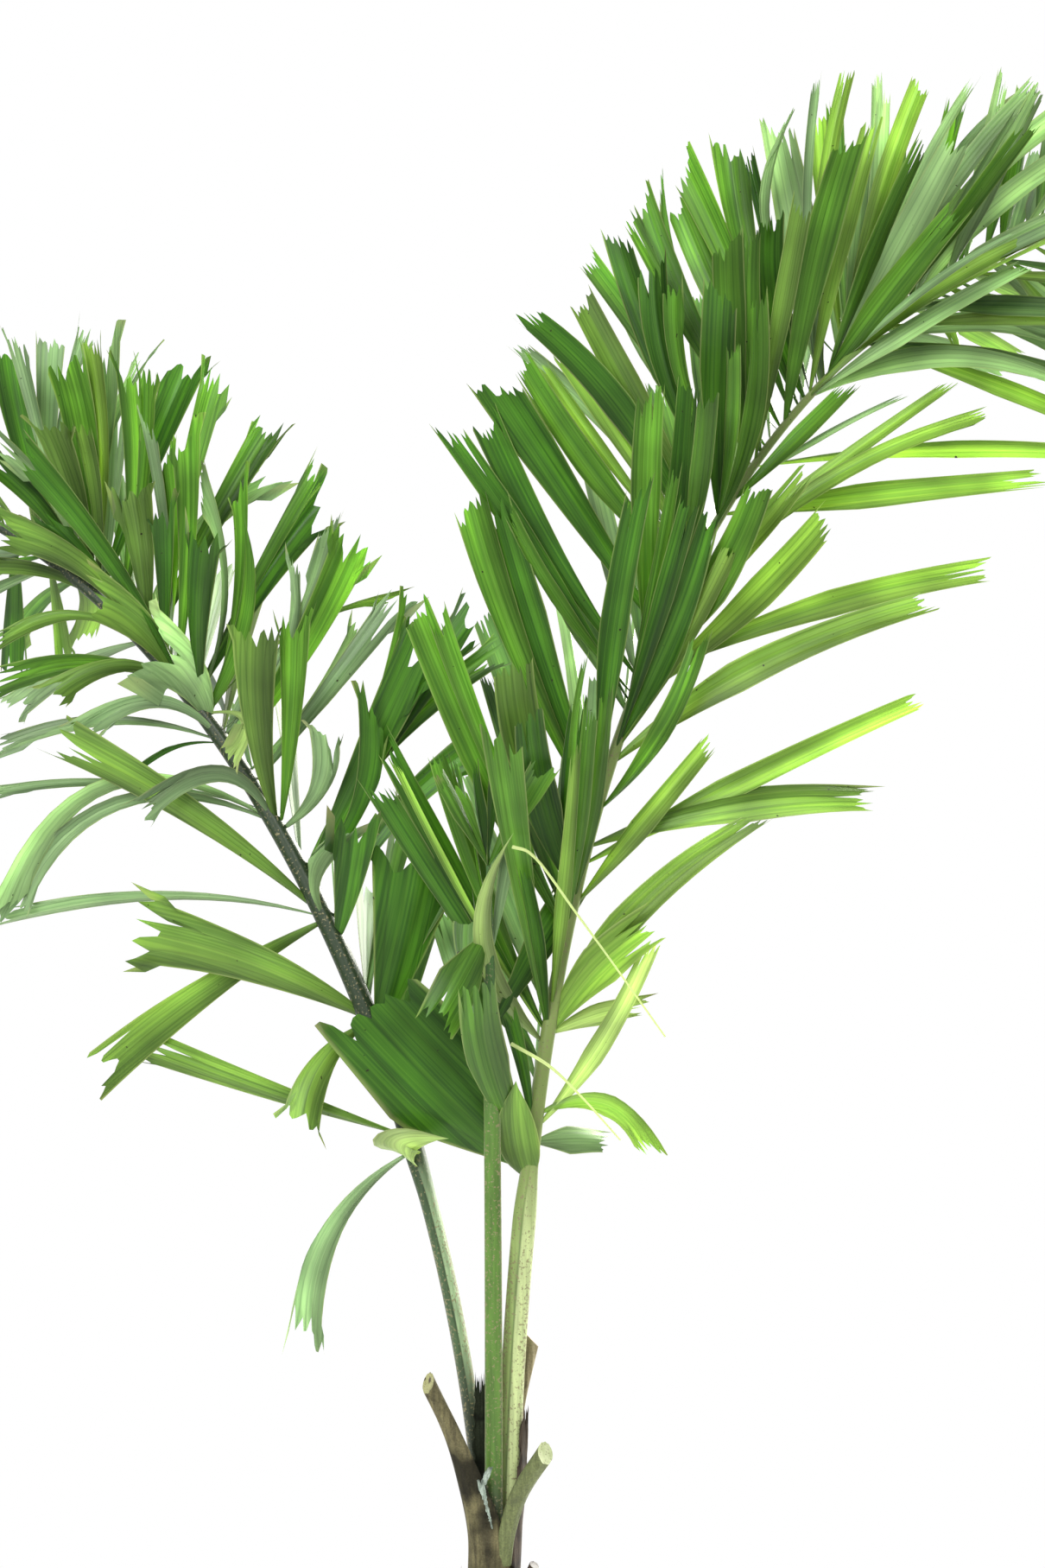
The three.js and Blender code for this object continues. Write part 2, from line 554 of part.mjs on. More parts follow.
/** A stretch of a frond's rib, six sided and a little flattened. */
function ribGeometry(rachis, from, to) {
  const rows = Math.max(3, Math.round((to - from) / RIB.rowStep));
  return loft(6, rows, (t, across, depth) => {
    const s = lerp(from, to, t);
    const { point, upper, flank } = rachis.at(s);
    const half = rachis.halfWidth(s);
    return point.addScaledVector(flank, across * half).addScaledVector(upper, depth * half * RIB.flatness);
  });
}

/** A live stalk: a rolled, channelled section that stands flat on the stem. */
function stalkGeometry(frond, rachis, spare = 0) {
  return loft(10, 8, (t, across, depth) => {
    const s = lerp(GAP - spare, frond.stalk - GAP / 2 + spare, t);
    const { point, upper, flank } = rachis.at(Math.max(0, s));
    const wrap = lerp(RIB.stalkWrap[0], RIB.stalkWrap[1], t);
    const beta = (across * (rachis.halfWidth(s) + spare)) / wrap;
    const deep = depth * (lerp(frond.stalkDepth[0], frond.stalkDepth[1], t) / 2 + spare);
    const place = point.addScaledVector(flank, (wrap - deep) * Math.sin(beta))
      .addScaledVector(upper, wrap - (wrap - deep) * Math.cos(beta));
    return t === 0 ? place.setZ(STEM.height + s) : place;
  });
}

/** A cut leaf base: rolled round the stem at its foot and narrowing to the cut. */
function baseGeometry(base, spare = 0) {
  const curve = new THREE.CatmullRomCurve3(base.path.map((p) => new THREE.Vector3(...p)));
  return loft(10, 7, (t, across, depth) => {
    const point = curve.getPoint(t);
    const along = t === 0 ? UP.clone() : curve.getTangent(t);
    const turn = radians(lerp(base.facing[0], base.facing[1], t));
    const outer = new THREE.Vector3(Math.cos(turn), Math.sin(turn), 0);
    outer.addScaledVector(along, -outer.dot(along)).normalize();
    const side = along.clone().cross(outer);
    const half = base.halfWidth[1] + (base.halfWidth[0] - base.halfWidth[1]) * (1 - t) ** base.power + spare;
    const deep = depth * (lerp(base.depth[0], base.depth[1], t) / 2 + spare);
    const wrap = lerp(base.wrap[0], base.wrap[1], t);
    const beta = (across * half) / wrap;
    return point
      .addScaledVector(along, spare * (t === 0 ? -1 : t === 1 ? 1 : 0))
      .addScaledVector(side, (wrap + deep) * Math.sin(beta))
      .addScaledVector(outer, (wrap + deep) * Math.cos(beta) - wrap);
  });
}

/** The stem: flared foot, gentle taper and ring scars, turned about its axis. */
function stemGeometry() {
  const outline = [new THREE.Vector2(0, 0)];
  const rings = Math.round(STEM.height / STEM.ringPitch);
  for (let i = 0; i <= rings * 2; i++) {
    const z = (STEM.height * i) / (rings * 2);
    const flare = (STEM.footRadius - STEM.waistRadius) * Math.exp(-z / STEM.flareHeight);
    const taper = lerp(STEM.waistRadius, STEM.topRadius, z / STEM.height);
    const ring = i % 2 && i < rings * 2 ? STEM.ringRelief : 0;
    outline.push(new THREE.Vector2(i < rings * 2 ? taper + flare + ring : STEM.topRadius, z));
  }
  outline.push(new THREE.Vector2(0, STEM.height));
  return new THREE.LatheGeometry(outline, STEM.sides).rotateX(Math.PI / 2);
}

const boxesMeet = (a, b) => [0, 1, 2].every((k) => a.min[k] <= b.max[k] && b.min[k] <= a.max[k]);

const palm = new THREE.Group();
const placed = []; // every solid so far with its box and node, for the clearance of the leaflets

/** Keeps a solid's box beside it under its node's name. */
function keep(node, solid) {
  placed.push({ node, solid, box: solid.boundingBox() });
  return solid;
}

/** Adds a solid to the plant as a named mesh. */
function addMesh(group, name, solid, colour, roughness) {
  const material = new THREE.MeshStandardMaterial({ color: colour, roughness, metalness: 0 });
  const mesh = new THREE.Mesh(geometryOf(solid), material);
  mesh.name = name;
  group.add(mesh);
}

// Stem and the feet of the leaves.
const feet = new THREE.Group();
palm.add(feet);
const stem = keep("stem", solidOf(stemGeometry()));
addMesh(feet, "stem", stem, COLOURS.stem, 0.9);

const rachises = Object.fromEntries(Object.entries(FRONDS).map(([name, f]) => [name, new Rachis(f)]));
const grown = [];
for (const [name, frond] of Object.entries(FRONDS)) {
  const stalk = keep(`${name}_stalk`, solidOf(stalkGeometry(frond, rachises[name])));
  grown.push(solidOf(stalkGeometry(frond, rachises[name], GAP)));
  addMesh(feet, `${name}_stalk`, stalk, COLOURS[`${name}Stalk`], 0.6);
}
for (const [name, base] of Object.entries(LEAF_BASES)) {
  let solid = solidOf(baseGeometry(base));
  for (const other of grown) solid = solid.subtract(other);
  if (name === "low_stub") solid = solid.subtract(solidOf(stemGeometry().scale(1.006, 1.006, 1)));
  solid = largest(solid.simplify(0.05));
  grown.push(solidOf(baseGeometry(base, GAP)));
  keep(name, solid);
  const dry = name === "dry_sheath";
  addMesh(feet, name, solid, dry ? COLOURS.dry : name === "right_stub" ? COLOURS.cutStub : COLOURS.stub, 0.9);
}

// Blades: each is a stretch of rib with its leaflets, which join it at their roots only. A measured
// leaflet that would meet another leaflet, blade, stalk or stub is shifted in depth, and a leaflet that
// still would is left out.
const blades = [];
for (const [name, frond] of Object.entries(FRONDS)) {
  const rachis = rachises[name];
  const singles = SINGLE_LEAFLETS[name].map((row, index) =>
    GROWTH.depthShifts.map((shift) => singleLeaflet(row, index, frond, rachis, shift)));
  const leaves = [...singles, ...clusterLeaflets(frond, rachis).map((leaf) => [leaf])];
  const whole = frond.bend >= frond.length;
  const cuts = whole ? [frond.stalk, frond.length] : [frond.stalk, frond.bend, frond.length];
  for (let i = 0; i + 1 < cuts.length; i++) {
    const part = whole ? "frond" : i ? "frond_upper" : "frond_lower";
    const rib = solidOf(ribGeometry(rachis, cuts[i] + GAP / 2, cuts[i + 1] - GAP / 2));
    const last = cuts[i + 1] + (i + 2 === cuts.length ? 1 : 0);
    const own = leaves.filter(([leaf]) => (i === 0 || leaf.at >= cuts[i]) && leaf.at < last);
    const node = `${name}_${part}`;
    blades.push({ node, rib: keep(node, rib), own, colour: COLOURS[`${name}Blade`] });
  }
}
const crown = new THREE.Group();
palm.add(crown);
for (const blade of blades) {
  const pieces = [blade.rib];
  const clear = (leaf) => {
    const wide = solidOf(leafletGeometry(leaf, GAP));
    const free = solidOf(leafletGeometry(leaf, GAP, LEAF.root));
    const box = wide.boundingBox();
    const meets = (p) => !p.solid.intersect(p.node === blade.node ? free : wide).isEmpty();
    return !placed.some((p) => p.solid !== blade.rib && boxesMeet(p.box, box) && meets(p));
  };
  for (const choices of blade.own) {
    const leaf = choices.find(clear);
    if (leaf) pieces.push(keep(blade.node, solidOf(leafletGeometry(leaf))));
  }
  addMesh(crown, blade.node, largest(wasm.Manifold.union(pieces).simplify(0.02)), blade.colour, 0.55);
}

export default palm;
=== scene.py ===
"""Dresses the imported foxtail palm: a young plant on a ringed stem, with three live fronds.

The leaflets stand round each rib like the hairs of a fox's tail and end in a ragged cut. They grow by the
rule of the part's source, written again here as whole arrays. Lengths are in millimetres until a mesh is
made, and the frame is the source's own: +Z up, the foot of the stem at the origin, the viewer at -Y.
"""

import logging
import math
from collections.abc import Callable
from dataclasses import dataclass, field, fields
from enum import Enum, IntEnum
from functools import partial

import bpy
import numpy as np
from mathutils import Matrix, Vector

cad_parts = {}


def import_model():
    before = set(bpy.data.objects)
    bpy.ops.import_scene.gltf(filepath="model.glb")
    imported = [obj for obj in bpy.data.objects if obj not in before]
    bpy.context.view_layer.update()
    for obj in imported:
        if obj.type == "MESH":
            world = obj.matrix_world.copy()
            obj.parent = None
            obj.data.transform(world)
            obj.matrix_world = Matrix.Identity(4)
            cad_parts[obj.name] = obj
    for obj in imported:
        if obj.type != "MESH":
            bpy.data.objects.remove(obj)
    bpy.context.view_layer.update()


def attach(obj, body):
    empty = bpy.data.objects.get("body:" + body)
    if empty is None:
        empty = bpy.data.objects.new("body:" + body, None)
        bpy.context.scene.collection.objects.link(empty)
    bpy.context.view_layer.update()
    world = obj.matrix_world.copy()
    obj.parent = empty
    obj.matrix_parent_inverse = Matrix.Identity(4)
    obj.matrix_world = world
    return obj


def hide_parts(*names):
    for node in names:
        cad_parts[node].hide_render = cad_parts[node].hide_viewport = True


Array = np.ndarray
Pair = tuple[float, float]
Place = tuple[float, float, float]
Colours = tuple[str, str, str]
Material = bpy.types.Material
Socket = bpy.types.NodeSocket
Adder = Callable[..., Socket]

LOG = logging.getLogger("foxtail_palm")
MM = 0.001
BODY = "root"
UP = np.array([0.0, 0.0, 1.0])
VIEWER = np.array([0.0, -1.0, 0.0])
STEM_TOP = 400.0
DULL_BACK = 0.55
# Sockets of the Mix node for colours, which has one set of sockets for each kind of value.
FACTOR, FIRST, SECOND = 0, 6, 7
BLEND = {"data_type": "RGBA", "out": 2}
# The 32-bit hash behind the draws: its mask, first value, factors, shifts and half its range.
HASH_MASK = np.uint64(0xFFFFFFFF)
HASH_START = np.uint64(2166136261)
HASH_FACTORS = np.uint64(16777619), np.uint64(0x85EBCA6B)
HASH_SHIFTS = np.uint64(15), np.uint64(13)
HASH_HALF = 2.0**31
# Draw numbers kept for each frond, cluster and side of the rib, and where the measured leaflets start.
FROND_KEYS, CLUSTER_KEYS, SIDE_KEYS, SINGLE_KEYS = 1000, 20, 10, 700


def lerp(start: Array | float, end: Array | float, share: Array | float) -> Array | float:
    """The value that lies the given share of the way from start to end."""
    return start + (end - start) * share


def smooth(value: Array, low: float, high: float) -> Array:
    """An S-shaped step from 0 at low to 1 at high."""
    t = np.clip((value - low) / (high - low), 0, 1)
    return t * t * (3 - 2 * t)


def hump(value: Array, middle: float, width: float) -> Array:
    """A bell curve of height 1 at the middle, which has sunk to about a third at the width."""
    return np.exp(-(((value - middle) / width) ** 2))


def unit(vectors: Array) -> Array:
    """Vectors of length one along the last axis."""
    return vectors / np.linalg.norm(vectors, axis=-1, keepdims=True)


def square_to(axis: Array, vectors: Array) -> Array:
    """Vectors of length one: the given ones less their part along an axis."""
    return unit(vectors - axis * np.sum(vectors * axis, axis=-1, keepdims=True))


def turned(vectors: Array, axis: Array, angle: Array) -> Array:
    """Vectors that stand square to an axis, turned about it by an angle in radians."""
    return vectors * np.cos(angle)[..., None] + np.cross(axis, vectors) * np.sin(angle)[..., None]


def compass(degrees: Array | float) -> Array:
    """Level directions at turns in degrees, counted from +X towards +Y."""
    turn = np.radians(degrees)
    return np.stack([np.cos(turn), np.sin(turn), 0 * turn], axis=-1)


def ring_angles(count: int) -> Array:
    """Angles in radians of points spaced evenly round a ring."""
    return 2 * np.pi * np.arange(count) / count


def offsets(first: Array, second: Array, out_first: Array, out_second: Array) -> Array:
    """Steps off a path: in each row so far along one direction and so far along another."""
    return first[:, None] * out_first[..., None] + second[:, None] * out_second[..., None]


def smooth_curve(path: list[Place], t: Array) -> tuple[Array, Array]:
    """Points and directions of a smooth curve through the points of a path.

    Between points it is the cubic whose slopes are those of its neighbours' chords, each span counted by
    the square root of its length, as in the source.

    Args:
        path: the points, in mm.
        t: shares of the way along, from 0 to 1, with as much of it between any two points.

    Returns:
        Points and directions, each of shape (count, 3).
    """
    p = np.array(path, float)
    p = np.concatenate([[2 * p[0] - p[1]], p, [2 * p[-1] - p[-2]]])
    spans = len(p) - 3
    place = np.clip(t * spans, 0, spans - 1e-9)
    i = place.astype(int)
    w = (place - i)[:, None]
    p0, p1, p2, p3 = (p[i + n] for n in range(4))
    chords = (p1 - p0, p2 - p1, p3 - p2)
    d0, d1, d2 = (np.linalg.norm(chord, axis=-1, keepdims=True) ** 0.5 for chord in chords)
    m1 = ((p1 - p0) / d0 - (p2 - p0) / (d0 + d1) + (p2 - p1) / d1) * d1
    m2 = ((p2 - p1) / d1 - (p3 - p1) / (d1 + d2) + (p3 - p2) / d2) * d1
    c2 = 3 * (p2 - p1) - 2 * m1 - m2
    c3 = 2 * (p1 - p2) + m1 + m2
    points = p1 + m1 * w + c2 * w**2 + c3 * w**3
    return points, unit(m1 + 2 * c2 * w + 3 * c3 * w**2)


def draw(*keys: Array | int) -> Array:
    """Repeatable draws from -1 to 1, the source's own: a 32-bit hash of whole numbers.

    Args:
        keys: whole numbers or arrays of them that fit together.

    Returns:
        One draw for each set of keys.
    """
    h = HASH_START
    for key in keys:
        h = ((h ^ np.asarray(key).astype(np.uint64)) * HASH_FACTORS[0]) & HASH_MASK
        h = h ^ (h >> HASH_SHIFTS[0])
        h = (h * HASH_FACTORS[1]) & HASH_MASK
        h = h ^ (h >> HASH_SHIFTS[1])
    return h / HASH_HALF - 1


def chance(*keys: Array | int) -> Array:
    """Repeatable draws from 0 to 1."""
    return 0.5 + 0.5 * draw(*keys)


def linear(colour: str) -> tuple[float, float, float, float]:
    """An sRGB hex colour in linear light.

    Args:
        colour: two hex digits each of red, green and blue, such as 3F6B2A.

    Returns:
        Red, green, blue and an alpha of 1.
    """
    parts = [int(colour[i : i + 2], 16) / 255 for i in (0, 2, 4)]
    red, green, blue = (p / 12.92 if p <= 0.04045 else ((p + 0.055) / 1.055) ** 2.4 for p in parts)
    return red, green, blue, 1.0


def per_metre(size: float) -> float:
    """How many lengths of a size in mm make a metre, which is a pattern's scale."""
    return 1 / (size * MM)


def add_node(
    tree: bpy.types.NodeTree,
    kind: str,
    inputs: dict[str | int, object] | None = None,
    out: str | int = 0,
    **settings: object,
) -> Socket | None:
    """Adds one shader node with its settings, values and links.

    Args:
        tree: the material's or world's node tree.
        kind: the node's type without its ShaderNode prefix.
        inputs: for each input, by name or number, another node's output, a value or an sRGB hex colour.
        out: the output that is wanted, by name or number.
        settings: properties of the node itself.

    Returns:
        That output of the new node, or None from the node that ends a tree.
    """
    node = tree.nodes.new("ShaderNode" + kind)
    for name, value in settings.items():
        setattr(node, name, value)
    for key, value in (inputs or {}).items():
        if isinstance(value, Socket):
            tree.links.new(value, node.inputs[key])
        else:
            node.inputs[key].default_value = linear(value) if isinstance(value, str) else value
    return node.outputs[out] if len(node.outputs) else None


def new_material(name: str) -> tuple[Material, Adder]:
    """Starts an empty node material.

    Args:
        name: what the real material is.

    Returns:
        The material, and add_node for its tree.
    """
    material = bpy.data.materials.new(name)
    material.use_nodes = True
    material.node_tree.nodes.clear()
    return material, partial(add_node, material.node_tree)


@dataclass
class Surface:
    """A skin before it is a mesh: points in mm, four-sided faces, end caps and values at the points."""

    points: Array
    faces: Array
    slots: Array
    caps: list[Array] = field(default_factory=list)
    cap_slot: int = 0
    uv: Array | None = None
    values: dict[str, Array] = field(default_factory=dict)

    def piece(self, name: str, materials: list[Material], crease: float = 60.0) -> bpy.types.Object:
        """Makes the mesh object, smooth but for edges sharper than the crease angle.

        Args:
            name: the piece's name.
            materials: its materials, in the order of the slots.
            crease: angle in degrees from which an edge stays sharp.

        Returns:
            The object, at the origin, with its place in its mesh.
        """
        mesh = bpy.data.meshes.new(name)
        sizes = np.concatenate([np.full(len(self.faces), 4), [len(c) for c in self.caps]]).astype(np.int32)
        corners = np.concatenate([self.faces.ravel(), *self.caps]).astype(np.int32)
        mesh.vertices.add(len(self.points))
        mesh.vertices.foreach_set("co", (self.points * MM).astype(np.float32).ravel())
        mesh.loops.add(len(corners))
        mesh.loops.foreach_set("vertex_index", corners)
        mesh.polygons.add(len(sizes))
        mesh.polygons.foreach_set("loop_start", (np.cumsum(sizes) - sizes).astype(np.int32))
        slots = np.concatenate([self.slots, np.full(len(self.caps), self.cap_slot)])
        mesh.polygons.foreach_set("material_index", slots.astype(np.int32))
        for material in materials:
            mesh.materials.append(material)
        mesh.update(calc_edges=True)
        if self.uv is not None:
            layer = mesh.uv_layers.new(name="blade")
            layer.data.foreach_set("uv", (self.uv[corners] * MM).astype(np.float32).ravel())
        for title, numbers in self.values.items():
            attribute = mesh.attributes.new(title, "FLOAT", "POINT")
            attribute.data.foreach_set("value", numbers.astype(np.float32))
        mesh.set_sharp_from_angle(angle=math.radians(crease))
        piece = bpy.data.objects.new(name, mesh)
        bpy.context.scene.collection.objects.link(piece)
        return piece


def skin(rings: Array, cap_slot: int = 0, **values: Array) -> Surface:
    """A closed tube through rings of points, each ring joined to the next and the ends capped.

    Args:
        rings: points of shape (rows, around, 3), counted against the clock as the tip sees them.
        cap_slot: material slot of the end caps.
        values: numbers of shape (rows, around) that the material reads.

    Returns:
        The surface, with slot 0 on the tube.
    """
    rows, around = rings.shape[:2]
    index = np.arange(rows * around).reshape(rows, around)
    ahead = np.roll(index, -1, axis=1)
    faces = np.stack([index[:-1], ahead[:-1], ahead[1:], index[1:]], axis=-1).reshape(-1, 4)
    return Surface(
        points=rings.reshape(-1, 3),
        faces=faces,
        slots=np.zeros(len(faces), int),
        caps=[index[0, ::-1], index[-1]],
        cap_slot=cap_slot,
        values={name: numbers.ravel() for name, numbers in values.items()},
    )


def closed_sheets(upper: Array, lower: Array, uv: Array | None = None, **values: Array) -> Surface:
    """Closes the face and back grids of thin sheets, which share their outermost points.

    Args:
        upper: face points of shape (sheets, rows, columns, 3), rows along and columns across.
        lower: back points of the same shape.
        uv: place on the sheet in mm, of shape (sheets, rows, columns, 2).
        values: numbers of shape (sheets, rows, columns) that the material reads.

    Returns:
        The surface, with slot 0 on the faces and slot 1 on the backs.
    """
    count, rows, columns = upper.shape[:3]
    inner = (rows - 2, columns - 2)
    front = np.arange(rows * columns).reshape(rows, columns)
    back = front.copy()
    back[1:-1, 1:-1] = front.size + np.arange(inner[0] * inner[1]).reshape(inner)
    each = front.size + inner[0] * inner[1]

    def quads(grid: Array) -> Array:
        """Faces of a grid, seen from its face."""
        return np.stack([grid[:-1, :-1], grid[:-1, 1:], grid[1:, 1:], grid[1:, :-1]], axis=-1).reshape(-1, 4)

    def packed(first: Array, second: Array) -> Array:
        """All points of the first grid, then the inner ones of the second, sheet by sheet."""
        rows_of = [grid.reshape(count, -1, *grid.shape[3:]) for grid in (first, second[:, 1:-1, 1:-1])]
        return np.concatenate(rows_of, axis=1).reshape(-1, *first.shape[3:])

    one = np.concatenate([quads(front), quads(back)[:, ::-1]])
    rim = (upper + lower) / 2
    rim[:, 1:-1, 1:-1] = upper[:, 1:-1, 1:-1]
    return Surface(
        points=packed(rim, lower),
        faces=(one[None] + each * np.arange(count)[:, None, None]).reshape(-1, 4),
        slots=np.tile(np.repeat([0, 1], len(one) // 2), count),
        uv=None if uv is None else packed(uv, uv),
        values={name: packed(numbers, numbers) for name, numbers in values.items()},
    )


def ride(piece: bpy.types.Object, slot: str, *nodes: str) -> None:
    """Fixes a piece to the plant, hides the solids that it replaces and logs its face count.

    Args:
        piece: the object.
        slot: not used.
        nodes: names of the solids that it replaces.
    """
    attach(piece, BODY)
    if nodes:
        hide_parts(*nodes)
    LOG.info("%s: %d faces", piece.name, len(piece.data.polygons))


class Tone(Enum):
    """Leaf tones, dealt out leaflet by leaflet: partly the leaflets' own colours and partly painted light, as
    DEEP stands for leaflets in shade, LIME for backlit ones and PALE for ones washed out by bright light.
    """

    DEEP = 0
    MID = 1
    LIME = 2
    OLIVE = 3
    GLAUCOUS = 4
    YOUNG = 5
    PALE = 6


class Form(Enum):
    """Outline of a leaflet: a forked ragged wedge, a young one that closes to a point, or a blunt wedge."""

    RAGGED = 0
    POINTED = 1
    BLUNT = 2


class Trait(IntEnum):
    """What a draw decides: for a leaflet of a cluster, a torn sheet, a column of a blade and a whole blade.

    The OWN traits are those of a measured leaflet.
    """

    TURN = 1
    PLACE = 2
    SPREAD = 3
    LENGTH = 4
    WIDTH = 5
    ROLL = 6
    DROOP = 7
    TONE = 8
    SUN = 9
    TWIST = 10
    CURL = 11
    FLARE = 12
    TORN_TOP = 40
    TORN_SIDE = 80
    TOOTH = 300
    SPLIT = 400
    LOBE = 901
    NOTCH = 903
    TAIL = 904
    POINT = 905
    SLANT = 906
    POINT_COUNT = 907
    POINT_START = 908
    FOLD = 911
    WAVE = 912
    SHADE = 913
    OWN_FLARE = 914
    OWN_ROLL = 915
    OWN_TWIST = 916


def deal(shares: dict[Tone, float], chances: Array) -> Array:
    """Deals tones out to leaflets by their shares.

    Args:
        shares: how much there is of each tone.
        chances: a draw from 0 to 1 for each leaflet.

    Returns:
        The number of a tone for each leaflet.
    """
    edges = np.cumsum(list(shares.values())) / sum(shares.values())
    numbers = np.array([tone.value for tone in shares])
    return numbers[np.minimum(np.searchsorted(edges, chances), len(numbers) - 1)]


@dataclass(frozen=True)
class Ramp:
    """How a value is stretched: start to end becomes low to high, and beyond them it stays there."""

    start: float
    end: float
    low: float = 0.0
    high: float = 1.0

    def of(self, value: Socket) -> dict[str, Socket | float]:
        """The inputs of a Map Range node that stretches a value so."""
        ends = {"From Min": self.start, "From Max": self.end, "To Min": self.low, "To Max": self.high}
        return {"Value": value, **ends}


@dataclass(frozen=True)
class LeafFinish:
    """A living palm leaflet: waxy skin over parallel veins, with light coming through the blade.

    The eye sees soft lengthwise streaks about 15 mm wide, finer ribs between them, four or five dark veins,
    a satin sheen, a few dark flecks, thin pale margins, and straw-coloured ends where the cut edge has
    dried. Light and shade are painted into the colour as well: a lighter band along the hollow of a folded
    blade, on another line in each leaflet, with its sides painted in shade, painted shade towards the root,
    and large soft patches of painted light and shadow.

    A leaflet's mesh says how far along it a point lies (share), how far across, from -1 to 1, and a number
    from 0 to 1 that is dealt to the whole leaflet. Of the ramps, shades scale the brightness and masks lay
    a colour on.
    """

    name: str
    face: str
    streak: str
    through: str
    glow: float
    roughness: float = 0.42
    sheen: float = 0.3
    dry: str = "A39468"
    fleck: str = "2C2A16"
    margin: str = "B4BE78"
    streak_width: float = 15.0
    rib_width: float = 3.0
    streak_length: float = 420.0
    fleck_size: float = 9.0
    patch_size: float = 85.0
    veins: float = 2.4
    vein_shift: float = 5.0
    fray: float = 0.03
    relief: float = 0.6
    streak_mask: Ramp = Ramp(0.8, 1.2)
    margin_mask: Ramp = Ramp(0.9, 0.97, 0.0, 0.32)
    fleck_mask: Ramp = Ramp(0.76, 0.8)
    dry_mask: Ramp = Ramp(1.06, 1.14, 0.0, 0.3)
    dealt_shade: Ramp = Ramp(0.0, 1.0, 0.76, 1.16)
    # Painted shade: each leaflet darker towards its root, where the crown shades it.
    painted_root_shade: Ramp = Ramp(0.0, 1.0, 0.74, 1.06)
    # Painted light and shadow in large soft patches over the leaflets.
    painted_dapple_shade: Ramp = Ramp(0.3, 0.7, 0.8, 1.18)
    # Painted light and shade across the fold: a lighter band in the hollow, the sides painted darker.
    painted_fold_shading: Ramp = Ramp(0.15, 1.2, 1.18, 0.68)
    vein_shade: Ramp = Ramp(0.0, 0.14, 0.76, 1.03)
    hollow_line: Ramp = Ramp(0.0, 1.0, -0.7, 0.7)

    def brightness(self, node: Adder, share: Socket, dealt: Socket, across: Socket) -> Socket:
        """How bright a point is: by leaflet, at its veins, and by painted light and shade along it, in large
        patches and off its hollow.

        Args:
            node: add_node for the material's tree.
            share: how far along the leaflet the point lies.
            dealt: the leaflet's own number.
            across: how far across the leaflet the point lies.

        Returns:
            The output with the product of all five factors, three of them painted light and shade.
        """
        place = node("TexCoord", out="Object")
        patches = node("TexNoise", {"Vector": place, "Scale": per_metre(self.patch_size), "Detail": 1.0})
        line = node("MapRange", self.hollow_line.of(dealt))
        apart = node("Math", {0: across, 1: line}, operation="SUBTRACT")
        aside = node("Math", {0: dealt, 1: self.vein_shift}, operation="MULTIPLY")
        counted = node("Math", {0: across, 1: self.veins, 2: aside}, operation="MULTIPLY_ADD")
        bright = node("MapRange", self.dealt_shade.of(dealt))
        for shade, value in (
            (self.painted_root_shade, share),
            (self.painted_dapple_shade, patches),
            (self.painted_fold_shading, node("Math", {0: apart}, operation="ABSOLUTE")),
            (self.vein_shade, node("Math", {0: counted, 1: 0.5}, operation="PINGPONG")),
        ):
            factor = node("MapRange", shade.of(value))
            bright = node("Math", {0: bright, 1: factor}, operation="MULTIPLY")
        return bright

    def material(self) -> Material:
        """Makes streaks and ribs along the blade, pale margins, flecks and dried ends, and the glow.

        Returns:
            The node material.
        """
        material, node = new_material(self.name)
        blade = node("UVMap", uv_map="blade")
        share, dealt, across = (
            node("Attribute", out="Fac", attribute_name=title) for title in ("share", "deal", "across")
        )
        widths = (self.streak_width, self.rib_width)
        scales = [(per_metre(width), per_metre(self.streak_length), 1.0) for width in widths]
        stretched = [node("Mapping", {"Vector": blade, "Scale": scale}) for scale in scales]
        streaks, ribs = (node("TexNoise", {"Vector": at, "Scale": 1.0, "Detail": 2.0}) for at in stretched)
        flecks = node("TexNoise", {"Vector": blade, "Scale": per_metre(self.fleck_size), "Detail": 1.0})
        grain = node("Math", {0: streaks, 1: ribs}, operation="ADD")
        outward = node("Math", {0: across}, operation="ABSOLUTE")
        frayed = node("Math", {0: streaks, 1: self.fray, 2: share}, operation="MULTIPLY_ADD")
        light = node("MapRange", self.streak_mask.of(grain))
        coats = (
            (node("MapRange", self.margin_mask.of(outward)), self.margin),
            (node("MapRange", self.fleck_mask.of(flecks)), self.fleck),
            (node("MapRange", self.dry_mask.of(frayed)), self.dry),
        )
        bright = self.brightness(node, share, dealt, across)

        def coloured(dark: str, pale: str) -> Socket:
            """Streaks one colour with another, shades it and lays margins, flecks and dried ends over it.

            Args:
                dark: the colour between the streaks.
                pale: the colour of the streaks.

            Returns:
                The output with the finished colour.
            """
            streaked = node("Mix", {FACTOR: light, FIRST: dark, SECOND: pale}, **BLEND)
            colour = node("HueSaturation", {"Color": streaked, "Value": bright})
            for mask, coat in coats:
                colour = node("Mix", {FACTOR: mask, FIRST: colour, SECOND: coat}, **BLEND)
            return colour

        relief = node("Bump", {"Height": grain, "Strength": 0.25, "Distance": self.relief * MM})
        skin_looks = {"Base Color": coloured(self.streak, self.face), "Normal": relief}
        finish = {"Roughness": self.roughness, "Specular IOR Level": self.sheen}
        surface = node("BsdfPrincipled", {**skin_looks, **finish})
        passing = node("BsdfTranslucent", {"Color": coloured(self.face, self.through), "Normal": relief})
        mixed = node("MixShader", {0: self.glow, 1: surface, 2: passing})
        node("OutputMaterial", {"Surface": mixed})
        return material


